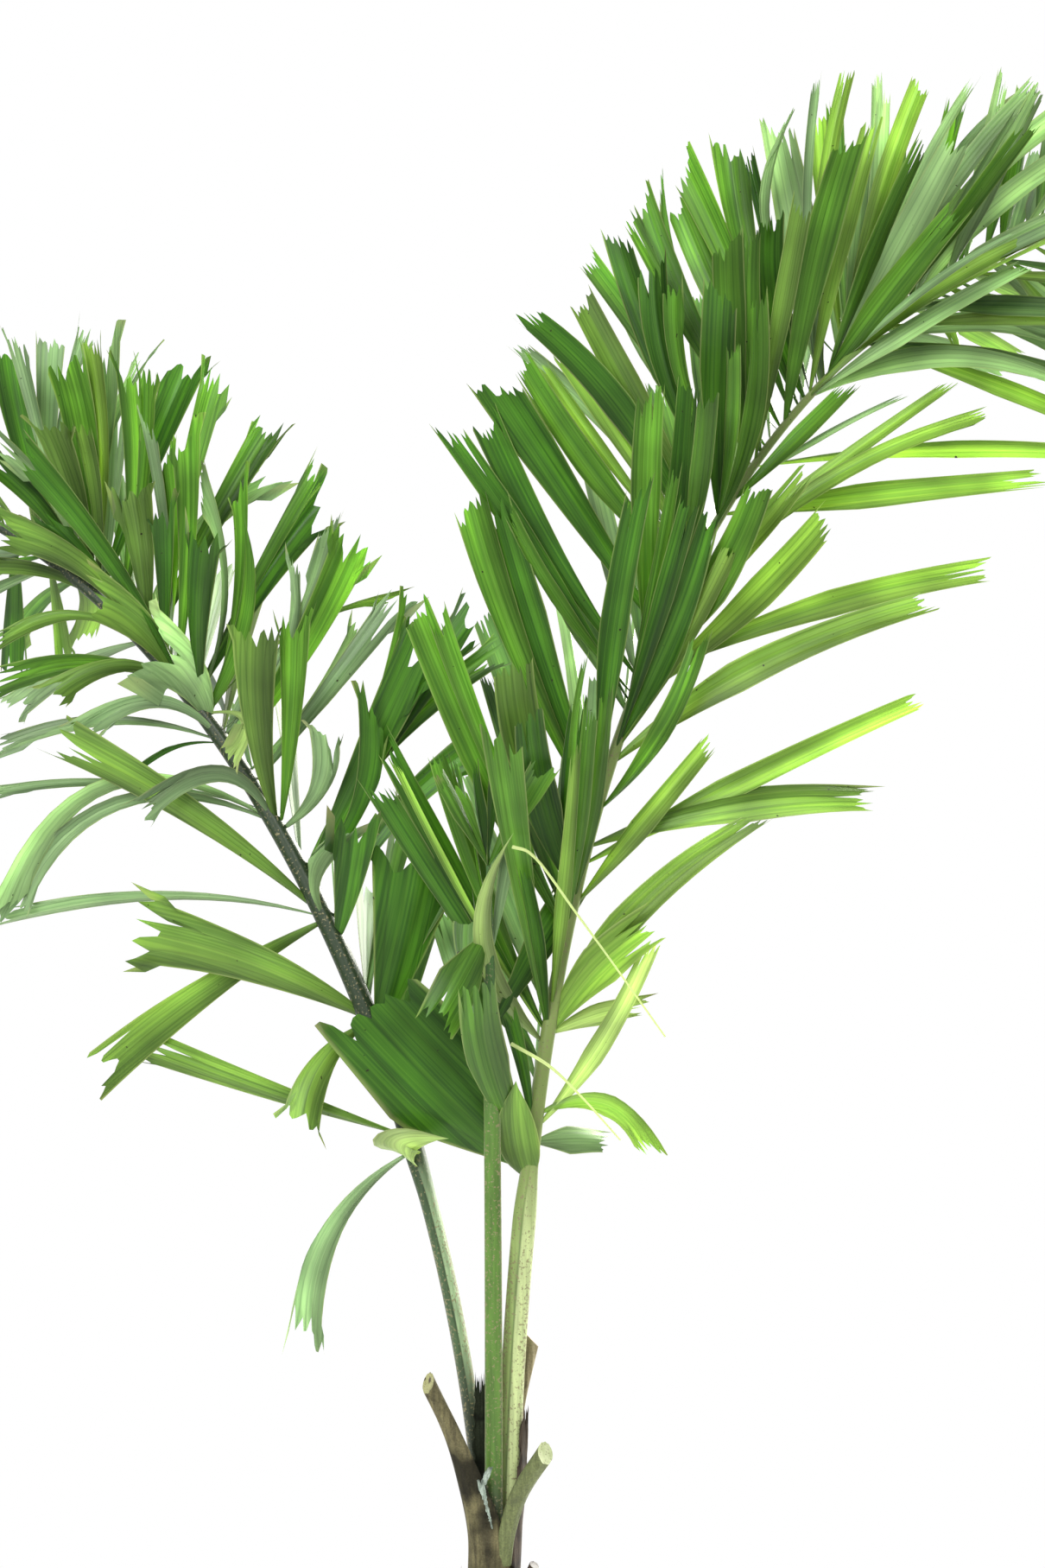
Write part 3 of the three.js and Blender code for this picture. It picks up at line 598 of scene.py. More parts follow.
@dataclass(frozen=True)
class StalkFinish:
    """A leaf stalk: firm green skin with fine fibres, brown scurf along its edges and dark specks.

    The rounded back and the channelled upper side differ in colour and meet in a dark seam, and the rib
    above is darker. On the left and right stalks the side that faces right is the paler one, painted as lit
    by the light from the right, with the other side painted in shade. The darker foot is partly brown skin
    and partly painted shade low between the stalks. The stalk's mesh says on which side a point lies, from
    -1 at the back to 1, how near an edge, how far up towards the rib and how near the foot.
    """

    name: str
    back: str
    upper: str
    rib: str
    foot: str
    seam: str
    upper_from: float
    scurf: str = "6C6648"
    speck: str = "2A2618"
    roughness: float = 0.45
    sheen: float = 0.3
    fibre_width: float = 5.0
    fibre_length: float = 90.0
    fibre_relief: float = 1.2
    speck_size: float = 3.6
    scurf_relief: float = 0.6
    seam_width: float = 0.2
    edge_scurf: float = 0.16
    seam_mask: Ramp = Ramp(0.0, 0.16, 0.85, 0.0)
    fibre_shade: Ramp = Ramp(0.3, 0.7, 0.72, 1.2)
    scurf_mask: Ramp = Ramp(0.6, 0.66, 0.0, 0.85)
    speck_mask: Ramp = Ramp(0.3, 0.26, 0.0, 0.8)

    def material(self) -> Material:
        """Makes the two sides and their seam, shaded by fibres, then rib, foot, scurf and specks.

        Returns:
            The node material.
        """
        material, node = new_material(self.name)
        place = node("TexCoord", out="Object")
        side, edge, climb, low = (
            node("Attribute", out="Fac", attribute_name=title)
            for title in ("upper_side", "edge", "climb", "lowness")
        )
        grain = [per_metre(size) for size in (self.fibre_width, self.fibre_width, self.fibre_length)]
        drawn_out = node("Mapping", {"Vector": place, "Scale": grain})
        fibres = node("TexNoise", {"Vector": drawn_out, "Scale": 1.0, "Detail": 3.0})
        specks = node("TexNoise", {"Vector": place, "Scale": per_metre(self.speck_size), "Detail": 2.0})
        upper_mask = Ramp(self.upper_from, self.upper_from + self.seam_width)
        seam_line = self.upper_from + self.seam_width / 2
        off = node("Math", {0: side, 1: seam_line}, operation="SUBTRACT")
        away = node("Math", {0: off}, operation="ABSOLUTE")
        flaked = node("Math", {0: edge, 1: self.edge_scurf, 2: specks}, operation="MULTIPLY_ADD")
        scurf = node("MapRange", self.scurf_mask.of(flaked))
        colour = self.back
        for mask, coat in (
            (node("MapRange", upper_mask.of(side)), self.upper),
            (node("MapRange", self.seam_mask.of(away)), self.seam),
        ):
            colour = node("Mix", {FACTOR: mask, FIRST: colour, SECOND: coat}, **BLEND)
        shade = node("MapRange", self.fibre_shade.of(fibres))
        colour = node("HueSaturation", {"Color": colour, "Value": shade})
        for mask, coat in (
            (climb, self.rib),
            (low, self.foot),
            (scurf, self.scurf),
            (node("MapRange", self.speck_mask.of(specks)), self.speck),
        ):
            colour = node("Mix", {FACTOR: mask, FIRST: colour, SECOND: coat}, **BLEND)
        ribbed = node("Bump", {"Height": fibres, "Strength": 0.35, "Distance": self.fibre_relief * MM})
        flakes = {"Height": scurf, "Strength": 0.4, "Distance": self.scurf_relief * MM, "Normal": ribbed}
        looks = {"Base Color": colour, "Normal": node("Bump", flakes)}
        finish = {"Roughness": self.roughness, "Specular IOR Level": self.sheen}
        node("OutputMaterial", {"Surface": node("BsdfPrincipled", {**looks, **finish})})
        return material


@dataclass(frozen=True)
class WeatheredFinish:
    """Weathered plant skin: old leaf base, dry sheath or bark, dull and fibrous with darker blotches.

    The blotches gather where a mesh's own smear value is high.
    """

    name: str
    pale: str
    main: str
    blotch: str
    roughness: float = 0.78
    fibre_width: float = 4.0
    fibre_length: float = 120.0
    blotch_size: float = 45.0
    blotch_from: float = 0.5
    relief: float = 1.4
    sheen: float = 0.5
    ior: float = 1.4
    grit_size: float = 2.5
    grit_relief: float = 0.5
    smear_pull: float = 0.3
    blotch_edge: float = 0.16
    blotch_most: float = 0.85
    fibre_mask: Ramp = Ramp(0.35, 0.68)
    grit_shade: Ramp = Ramp(0.3, 0.7, 0.75, 1.2)

    def material(self) -> Material:
        """Makes upright fibres, large soft blotches and fine grit.

        Returns:
            The node material.
        """
        material, node = new_material(self.name)
        place = node("TexCoord", out="Object")
        grain = [per_metre(size) for size in (self.fibre_width, self.fibre_width, self.fibre_length)]
        drawn_out = node("Mapping", {"Vector": place, "Scale": grain})
        fibres = node("TexNoise", {"Vector": drawn_out, "Scale": 1.0, "Detail": 4.0})
        blotches, grit = (
            node("TexNoise", {"Vector": place, "Scale": per_metre(size), "Detail": detail})
            for size, detail in ((self.blotch_size, 4.0), (self.grit_size, 2.0))
        )
        smear = node("Attribute", out="Fac", attribute_name="smear")
        smeared = node("Math", {0: smear, 1: self.smear_pull, 2: blotches}, operation="MULTIPLY_ADD")
        blotch_mask = Ramp(self.blotch_from, self.blotch_from + self.blotch_edge, 0.0, self.blotch_most)
        colour = self.main
        for mask, coat in (
            (node("MapRange", self.fibre_mask.of(fibres)), self.pale),
            (node("MapRange", blotch_mask.of(smeared)), self.blotch),
        ):
            colour = node("Mix", {FACTOR: mask, FIRST: colour, SECOND: coat}, **BLEND)
        shade = node("MapRange", self.grit_shade.of(grit))
        colour = node("HueSaturation", {"Color": colour, "Value": shade})
        coarse = node("Bump", {"Height": fibres, "Strength": 0.6, "Distance": self.relief * MM})
        fine = {"Height": grit, "Strength": 0.35, "Distance": self.grit_relief * MM, "Normal": coarse}
        looks = {"Base Color": colour, "Normal": node("Bump", fine)}
        finish = {"Roughness": self.roughness, "IOR": self.ior, "Specular IOR Level": self.sheen}
        node("OutputMaterial", {"Surface": node("BsdfPrincipled", {**looks, **finish})})
        return material


@dataclass(frozen=True)
class ThreadFinish:
    """A dried leaf margin: pale straw green and dull, with a little light coming through."""

    name: str = "dried_leaf_margin"
    colour: str = "C2D08C"
    roughness: float = 0.7
    glow: float = 0.4

    def material(self) -> Material:
        """Makes one plain colour, with part of the light let through.

        Returns:
            The node material.
        """
        material, node = new_material(self.name)
        surface = node("BsdfPrincipled", {"Base Color": self.colour, "Roughness": self.roughness})
        passing = node("BsdfTranslucent", {"Color": self.colour})
        mixed = node("MixShader", {0: self.glow, 1: surface, 2: passing})
        node("OutputMaterial", {"Surface": mixed})
        return material


@dataclass(frozen=True)
class CutFinish:
    """The cut end of a leaf base: pale moist pith with the dark ends of its fibre bundles and a rotten spot.

    The spot lies where a mesh's own smear value is high, and in a few small places besides.
    """

    name: str
    pith: str
    pale: str
    bundle: str
    spot: str = "30261A"
    spot_from: float = 0.3
    spot_edge: float = 0.05
    spot_most: float = 0.85
    bundle_pitch: float = 4.2
    cloud_size: float = 12.0
    roughness: float = 0.6
    ior: float = 1.4
    relief: float = 0.8
    wet_mask: Ramp = Ramp(0.35, 0.65)
    bundle_mask: Ramp = Ramp(0.3, 0.16, 0.0, 0.7)

    def material(self) -> Material:
        """Makes cells a fibre bundle apart, each with a dark centre, and the rotten spot.

        Returns:
            The node material.
        """
        material, node = new_material(self.name)
        place = node("TexCoord", out="Object")
        cells = node("TexVoronoi", {"Vector": place, "Scale": per_metre(self.bundle_pitch)})
        cloud = node("TexNoise", {"Vector": place, "Scale": per_metre(self.cloud_size), "Detail": 3.0})
        spot_mask = Ramp(self.spot_from, self.spot_from - self.spot_edge, 0.0, self.spot_most)
        rotten = node("MapRange", spot_mask.of(cloud))
        smear = node("Attribute", out="Fac", attribute_name="smear")
        colour = self.pith
        for mask, coat in (
            (node("MapRange", self.wet_mask.of(cloud)), self.pale),
            (node("MapRange", self.bundle_mask.of(cells)), self.bundle),
            (node("Math", {0: rotten, 1: smear}, operation="MAXIMUM"), self.spot),
        ):
            colour = node("Mix", {FACTOR: mask, FIRST: colour, SECOND: coat}, **BLEND)
        relief = node("Bump", {"Height": cells, "Strength": 0.4, "Distance": self.relief * MM})
        finish = {"Base Color": colour, "Roughness": self.roughness, "IOR": self.ior, "Normal": relief}
        node("OutputMaterial", {"Surface": node("BsdfPrincipled", finish)})
        return material


def both_sides(name: str, glow: float, face: Colours, back: Colours) -> tuple[LeafFinish, LeafFinish]:
    """Pairs the finishes of a leaf's face and of its duller back.

    Args:
        name: the start of both names.
        glow: the share of light that comes through.
        face: the face's own colour, that between its streaks and that of light coming through.
        back: the same of the back.

    Returns:
        The finish of the face and that of the back.
    """
    return (
        LeafFinish(f"{name}_leaf_face", *face, glow),
        LeafFinish(f"{name}_leaf_back", *back, glow, roughness=DULL_BACK),
    )


# Leaf greens, with light and shade painted in: deep ones as shaded, lime as backlit and pale as washed
# out; a grey bloom on the oldest leaflets and a yellow cast on the young.
LEAF_FINISHES: dict[Tone, tuple[LeafFinish, LeafFinish]] = {
    tone: both_sides(*colours)
    for tone, colours in {
        Tone.DEEP: ("deep_green", 0.42, ("42701C", "2E5614", "7EAA36"), ("5C7C4A", "446234", "7CA63E")),
        Tone.MID: ("mid_green", 0.46, ("5C8C2C", "467020", "98BE4E"), ("74965A", "587C44", "9ABE58")),
        Tone.LIME: ("lime_green", 0.48, ("8AB04A", "72983C", "B2CE68"), ("94AE64", "7A9450", "B2CE68")),
        Tone.OLIVE: ("olive", 0.45, ("6A8E3A", "567630", "9EB65E"), ("82965C", "6A7E48", "A0B662")),
        Tone.GLAUCOUS: ("blue_green", 0.36, ("829E70", "6A865A", "A2BA86"), ("92A884", "7A9270", "A2BA86")),
        Tone.YOUNG: ("young", 0.45, ("A4BC72", "8EA860", "C8DA92"), ("ACC084", "96AC70", "C8DA92")),
        Tone.PALE: ("pale_green", 0.44, ("96B87C", "7E9E66", "B8D096"), ("94B082", "7A986A", "AAC684")),
    }.items()
}
# A dark left stalk and rib, their darkness partly painted shade, with a grey-green channel, a fresh green
# centre one and a pale right one. On the left and right stalks the side that faces right is painted paler,
# as lit, and the other side in shade.
STALK_FINISHES = {
    "left": StalkFinish("left_stalk_skin", "364A2E", "809670", "1A2A12", "2E3628", "1A2812", -0.15),
    "centre": StalkFinish("centre_stalk_skin", "446224", "7E8C5C", "304E22", "323E26", "3A5420", -0.8),
    "right": StalkFinish("right_stalk_skin", "9AA674", "768850", "66763F", "5E5638", "42562A", 0.1),
}
# Weathered skins: colours of the fibres, of what is between them and of the blotches, then roughness, fibre
# width and length, blotch size, how rare blotches are, and relief.
# Grey-brown skin with broad black stains and hardly any sheen.
OLD_BASE = WeatheredFinish(
    "old_leaf_base_skin", "625D42", "433F2E", "080806", 0.78, 7.0, 220.0, 70.0, sheen=0.15
)
# Pale dry skin with a few brown blotches.
REAR_BASE = WeatheredFinish(
    "pale_leaf_base_skin", "8A8266", "6C6448", "3C3024", blotch_size=40.0, blotch_from=0.54
)
# Skin that is still olive green, a little smoother than the dry ones.
GREEN_BASE = WeatheredFinish("green_leaf_base_skin", "565E38", "444B28", "303420", 0.7, blotch_from=0.56)
# Coarse brown fibre, quite matt.
COLLAR = WeatheredFinish("old_sheath_fibre", "665A44", "473E2F", "29241C", 0.9, 3.0, 70.0, 30.0)
# Nearly black fibre between the stalks, its darkness partly its own and partly painted shade.
INNER_SHEATH = WeatheredFinish(
    "dark_inner_sheath", "23281D", "171B13", "0E100C", 0.85, 2.0, 60.0, 20.0, sheen=0.05
)
# Dark brown torn fibre, fine and matt.
DRY_FIBRE = WeatheredFinish("dry_sheath_fibre", "40362A", "281F18", "14100D", 0.9, 2.0, 60.0, 20.0)
# Thin grey skin that has come off a leaf base's margin.
MEMBRANE = WeatheredFinish("dry_membrane", "929E94", "6E7A70", "4E584E", 0.7, 2.2, 40.0, 16.0)
# Grey-brown bark with short fibres and the deepest relief.
BARK = WeatheredFinish("ringed_stem_bark", "7D7561", "564F40", "3A352A", 0.88, 7.0, 30.0, 60.0, 0.52, 2.0)
# Pith from grey-green, just cut, through older yellow and red brown to nearly black.
FRESH_CUT = CutFinish("fresh_cut_pith", "828C62", "98A07A", "52462F")
OLD_CUT = CutFinish("old_cut_pith", "757448", "8A8A60", "52462F", spot_from=0.42)
RED_CUT = CutFinish("red_brown_cut_pith", "5A3A28", "704C36", "38241A")
DARK_CUT = CutFinish("dark_cut_pith", "2A2425", "352E2E", "1A1616")


@dataclass
class Leaflets:
    """Leaflets of one blade as arrays with one row each, in mm and radians.

    A leaflet's middle line is its root, plus run times the share along it, plus bend times its square.
    """

    at: Array
    root: Array
    run: Array
    bend: Array
    across: Array
    width: Array
    length: Array
    key: Array
    tone: Array
    twist: Array
    curl: Array
    flare: Array
    form: Array

    def take(self, chosen: Array) -> "Leaflets":
        """The chosen leaflets only."""
        return Leaflets(*(getattr(self, f.name)[chosen] for f in fields(self)))

    def of_form(self, form: Form) -> Array:
        """Which leaflets have a form, as a column."""
        return self.form[:, None] == form.value

    @staticmethod
    def joined(parts: list["Leaflets"]) -> "Leaflets":
        """All leaflets of several sets in one."""
        return Leaflets(*(np.concatenate([getattr(p, f.name) for p in parts]) for f in fields(Leaflets)))


@dataclass(frozen=True)
class Blades:
    """How a leaflet's outline becomes a thin closed mesh, all leaflets at once.

    A leaflet is a grid of rows along and columns across it. Its half width is the source's: a narrow neck
    that swells to full width at the shoulder and flares or narrows to the end. Every column ends at a
    length of its own, so the end is cut ragged: slanting and forked at a notch that is deeper the more it
    flares, both lobes rising outwards in steps with sharp points, with uneven teeth and narrow splits, and
    with a tail on one margin. Across, the blade is folded along its middle, steeply at the neck, and
    pleated along its veins. Along, it waves at its margins and curls towards its end.
    """

    rows: int = 15
    columns: int = 17
    neck: float = 0.1
    shoulder: Pair = (0.7, 0.9)
    shoulder_range: Pair = (0.4, 0.95)
    swell: float = 1.05
    boat_powers: Pair = (0.75, 0.8)
    boat_close: float = 0.97
    boat_close_power: int = 8
    thick: float = 0.9
    root_thick: float = 5.0
    root_span: float = 0.05
    ragged_from: float = 0.45
    ragged_power: float = 1.5
    straight_from: float = 0.6
    cut_back: float = 0.34
    furthest: float = 32.0
    tooth: float = 11.0
    outermost: float = 0.99
    tail: Pair = (6.0, 30.0)
    tail_width: float = 50.0
    tail_range: Pair = (0.3, 1.2)
    notch: float = 0.6
    lobe: Pair = (0.12, 0.72)
    lobe_power: float = 0.8
    lobe_level: float = 0.55
    points: Pair = (1.3, 3.2)
    point: Pair = (0.15, 0.45)
    slant: float = 30.0
    straight_cut: float = 0.72
    flare_cut: float = 2.2
    flare_range: Pair = (-0.1, 0.5)
    blunt_cut: float = 0.3
    split: float = 60.0
    split_odds: float = 0.12
    split_within: float = 0.9
    fold: Pair = (-34.0, 12.0)
    fold_softness: float = 0.01
    neck_fold: float = -38.0
    neck_fold_span: float = 0.16
    pleat: float = 0.012
    pleat_period: float = 4.0
    pleat_span: Pair = (0.0, 0.35)
    wave: float = 0.05
    waves: float = 2.5
    wave_span: Pair = (0.2, 0.7)
    curl_from: float = 0.45
    pattern_step: float = 137.0
    pattern_places: int = 97

    def ends(self, leaves: Leaflets) -> Array:
        """How much further in mm than its length each column of each leaflet runs.

        The forked cut is slant times the place across, plus lobes and points that rise with the distance
        from the notch, plus the tail. A blunt leaflet has less of it, and a pointed one none.

        Args:
            leaves: the leaflets.

        Returns:
            Lengths of shape (leaflets, columns), none cut back so far that the blade would fold over itself.
        """
        key = leaves.key[:, None]
        width = leaves.width[:, None]
        column = np.arange(self.columns)[None, :]
        v = np.linspace(-1, 1, self.columns)[None, :]
        slant = self.slant * draw(key, Trait.SLANT)
        notch = self.notch * draw(key, Trait.NOTCH)
        away = np.abs(v - notch) / (1 + np.abs(notch))
        lobes = lerp(*self.lobe, chance(key, Trait.LOBE)) * (away**self.lobe_power - self.lobe_level)
        turn = lerp(*self.points, chance(key, Trait.POINT_COUNT)) * away + chance(key, Trait.POINT_START)
        points = lerp(*self.point, chance(key, Trait.POINT)) * (turn - np.floor(turn) - 0.5)
        teeth = self.tooth * draw(key, Trait.TOOTH + column)
        long_tail = lerp(*self.tail, chance(key, Trait.TAIL) ** 2) * (v * np.sign(slant) > self.outermost)
        tail = long_tail + self.tail[0] * (np.abs(v) > self.outermost)
        tail = tail * np.clip(width / self.tail_width, *self.tail_range)
        luck = chance(key, Trait.SPLIT + column)
        split = self.split * np.clip(1 - luck / self.split_odds, 0, 1) * (np.abs(v) < self.split_within)
        cut = self.straight_cut + self.flare_cut * np.clip(leaves.flare, *self.flare_range)[:, None]
        cut = cut * np.where(leaves.of_form(Form.BLUNT), self.blunt_cut, 1.0)
        ends = cut * (slant * v + (lobes + points) * width + tail) + teeth - split
        pace = np.linalg.norm(leaves.run + 2 * leaves.bend, axis=-1)[:, None]
        ends = np.clip(ends, -self.cut_back * pace, self.furthest)
        return np.where(leaves.of_form(Form.POINTED), 0.0, ends)

    def half_width(self, leaves: Leaflets, t: Array) -> Array:
        """Half the blade's width along it.

        A ragged blade widens nearly straight from the neck to its shoulder, which lies further out the more
        the blade flares, and widens or narrows by its flare from there. A pointed one swells and closes as
        the sine of half a turn.

        Args:
            leaves: the leaflets.
            t: shares along a leaflet, one for each row.

        Returns:
            Half widths of shape (leaflets, rows).
        """
        flare = leaves.flare[:, None]
        shoulder = np.clip(self.shoulder[0] + self.shoulder[1] * flare, *self.shoulder_range)
        swelling = 1 - (1 - np.minimum(1, t / shoulder)) ** self.swell
        past = np.clip((t - shoulder) / (1 - shoulder), 0, 1)
        wedge = lerp(self.neck, 1, swelling) * (1 + flare * past)
        arch = np.sin(np.pi * np.clip(t, 0, 1) ** self.boat_powers[0]) ** self.boat_powers[1]
        boat = lerp(self.neck, 1, arch) * (1 - self.boat_close * t**self.boat_close_power)
        shape = np.where(leaves.of_form(Form.POINTED), boat[None, :], wedge)
        return shape * leaves.width[:, None] / 2

    def section(self, leaves: Leaflets, t: Array, u: Array, half: Array) -> tuple[Array, Array]:
        """How far each point lies out from the middle line and up from it, on the blade's face.

        Args:
            leaves: the leaflets.
            t: shares along a leaflet, one for each row.
            u: true shares of shape (leaflets, rows, columns), past 1 where a column runs further.
            half: half the width, of shape (leaflets, rows, 1).

        Returns:
            Out and up, each of shape (leaflets, rows, columns): a fold, then pleats, waves and curl.
        """
        v = np.linspace(-1, 1, self.columns)
        row = t[None, :, None]
        settled = np.radians(lerp(*self.fold, chance(leaves.key, Trait.FOLD)))[:, None]
        fold = (settled + math.radians(self.neck_fold) * np.exp(-t / self.neck_fold_span))[..., None]
        ridge = np.sin(2 * np.pi * np.arange(self.columns) / self.pleat_period)
        phase = np.pi * draw(leaves.key, Trait.WAVE)[:, None, None]
        folded = half * np.sqrt(v * v + self.fold_softness) * np.sin(fold)
        pleats = self.pleat * half * ridge * smooth(row, *self.pleat_span)
        waves = self.wave * half * v * np.sin(self.waves * np.pi * u + phase) * smooth(row, *self.wave_span)
        past = np.clip((u - self.curl_from) / (1 - self.curl_from), 0, None)
        curl = past**2 * (leaves.curl * leaves.length)[:, None, None]
        return half * v * np.cos(fold), folded + pleats + waves + curl

    def grow(self, leaves: Leaflets, tones: list[Tone]) -> Surface:
        """The joined mesh of all leaflets.

        Args:
            leaves: the leaflets.
            tones: the tones that the piece has materials for, two slots each.

        Returns:
            The surface with a face and a back slot for each tone.
        """
        t = np.linspace(0, 1, self.rows)
        v = np.linspace(-1, 1, self.columns)
        row = t[None, :, None]
        key = leaves.key[:, None, None]
        length = leaves.length[:, None, None]
        ragged = np.clip((row - self.ragged_from) / (1 - self.ragged_from), 0, 1) ** self.ragged_power
        further = self.ends(leaves)[:, None, :] * ragged
        u = row + further / length
        root, run, bend = (a[:, None] for a in (leaves.root, leaves.run, leaves.bend))
        ahead = unit(run + 2 * bend * row)
        straight = unit(run * (1 - self.straight_from) + bend * (1 - self.straight_from**2))
        middle = (root + run * row + bend * row**2)[:, :, None] + straight[:, :, None] * further[..., None]
        side = turned(square_to(ahead, leaves.across[:, None]), ahead, leaves.twist[:, None] * t)
        face = np.cross(side, ahead)
        half = self.half_width(leaves, t)[..., None]
        out, rise = self.section(leaves, t, u, half)
        blade = middle + side[:, :, None] * out[..., None] + face[:, :, None] * rise[..., None]
        body = (self.thick + self.root_thick * np.exp(-t / self.root_span)) / 2
        thickness = face[:, :, None] * body[None, :, None, None]
        aside = self.pattern_step * (key % self.pattern_places)
        surface = closed_sheets(
            blade + thickness,
            blade - thickness,
            uv=np.stack([half * v + aside, u * length], axis=-1),
            share=u,
            deal=np.broadcast_to(chance(key, Trait.SHADE), u.shape),
            across=np.broadcast_to(v, u.shape),
        )
        order = np.array([tones.index(Tone(number)) for number in leaves.tone], dtype=int)
        surface.slots = surface.slots + np.repeat(2 * order, len(surface.slots) // len(order))
        return surface


@dataclass(frozen=True)
class Growth:
    """The rule by which leaflets grow, as in the part's source. Jitters are the most that a draw adds."""

    last_place: float = 0.985
    turn_jitter: float = 12
    place_jitter: float = 30
    spread_jitter: float = 10
    length_jitter: float = 0.13
    width_jitter: float = 0.2
    roll_jitter: float = 28
    droop_jitter: float = 0.5
    under_turn: float = 108
    under_spread: float = 6
    reach: Pair = (0.95, 1.05)
    foot_reach: float = 0.75
    foot_span: float = 0.18
    tip_loss: float = 0.58
    tip_power: float = 1.3
    tip_narrowing: float = 0.42
    twist: float = 24
    curl: float = 0.025
    flare_jitter: float = 0.2
    inner_flare: float = 0.16
    single_from: float = 1.02
    single_width: float = 0.95
    single_roll: float = 14.0
    single_twist: float = 22.0
    far_side: float = -0.55
    sun_height: float = 0.35
    sun_span: Pair = (0.2, 0.7)


GROWTH = Growth()


@dataclass(frozen=True)
class Lean:
    """How far a frond leans from upright along it, in degrees: base + rise x + arch x to a power."""

    base: float
    rise: float
    arch: float
    power: float

    def at(self, x: Array) -> Array:
        """The lean at shares of the way along, in degrees."""
        return self.base + self.rise * x + self.arch * x**self.power


@dataclass(frozen=True)
class Picture:
    """The photograph as a measure: its size in pixels, and the level eye that looks along +Y.

    One pixel is 1.2 mm at the stem's axis, and more behind it.
    """

    frame: tuple[int, int] = (1210, 1815)
    pixel: float = 1.2
    eye: Place = (45.6, -4500.0, 1509.0)

    def scale(self, depth: Array) -> Array:
        """Size of a pixel in mm at a depth behind the stem's axis."""
        return self.pixel * (depth - self.eye[1]) / -self.eye[1]

    def place(self, pixels: Array, depth: Array) -> Array:
        """Finds the points that pixels show.

        Args:
            pixels: places in the picture, of shape (count, 2).
            depth: how far behind the stem's axis each point lies.

        Returns:
            Points in mm, of shape (count, 3).
        """
        size = self.scale(depth)
        x = self.eye[0] + (pixels[:, 0] - self.frame[0] / 2) * size
        z = self.eye[2] + (self.frame[1] / 2 - pixels[:, 1]) * size
        return np.stack([x, depth, z], axis=-1)

    def pixels(self, points: Array) -> Array:
        """Finds where points show in the picture.

        Args:
            points: points in mm, of shape (count, 3).

        Returns:
            Pixels, of shape (count, 2).
        """
        size = self.scale(points[:, 1])
        across = self.frame[0] / 2 + (points[:, 0] - self.eye[0]) / size
        return np.stack([across, self.frame[1] / 2 - (points[:, 2] - self.eye[2]) / size], axis=-1)


PICTURE = Picture()


@dataclass(frozen=True)
class Single:
    """A leaflet told apart in the photograph, measured there in pixels.

    root, middle and tip are places on its middle line and width is that of its end. near is how far its
    tip comes towards the viewer, in mm, roll its turn from facing the viewer and twist a further turn from
    root to tip, in degrees.
    """

    root: Pair
    middle: Pair
    tip: Pair
    width: float
    near: float
    tone: Tone
    roll: float = 8.0
    twist: float = 0.0
    form: Form = Form.RAGGED


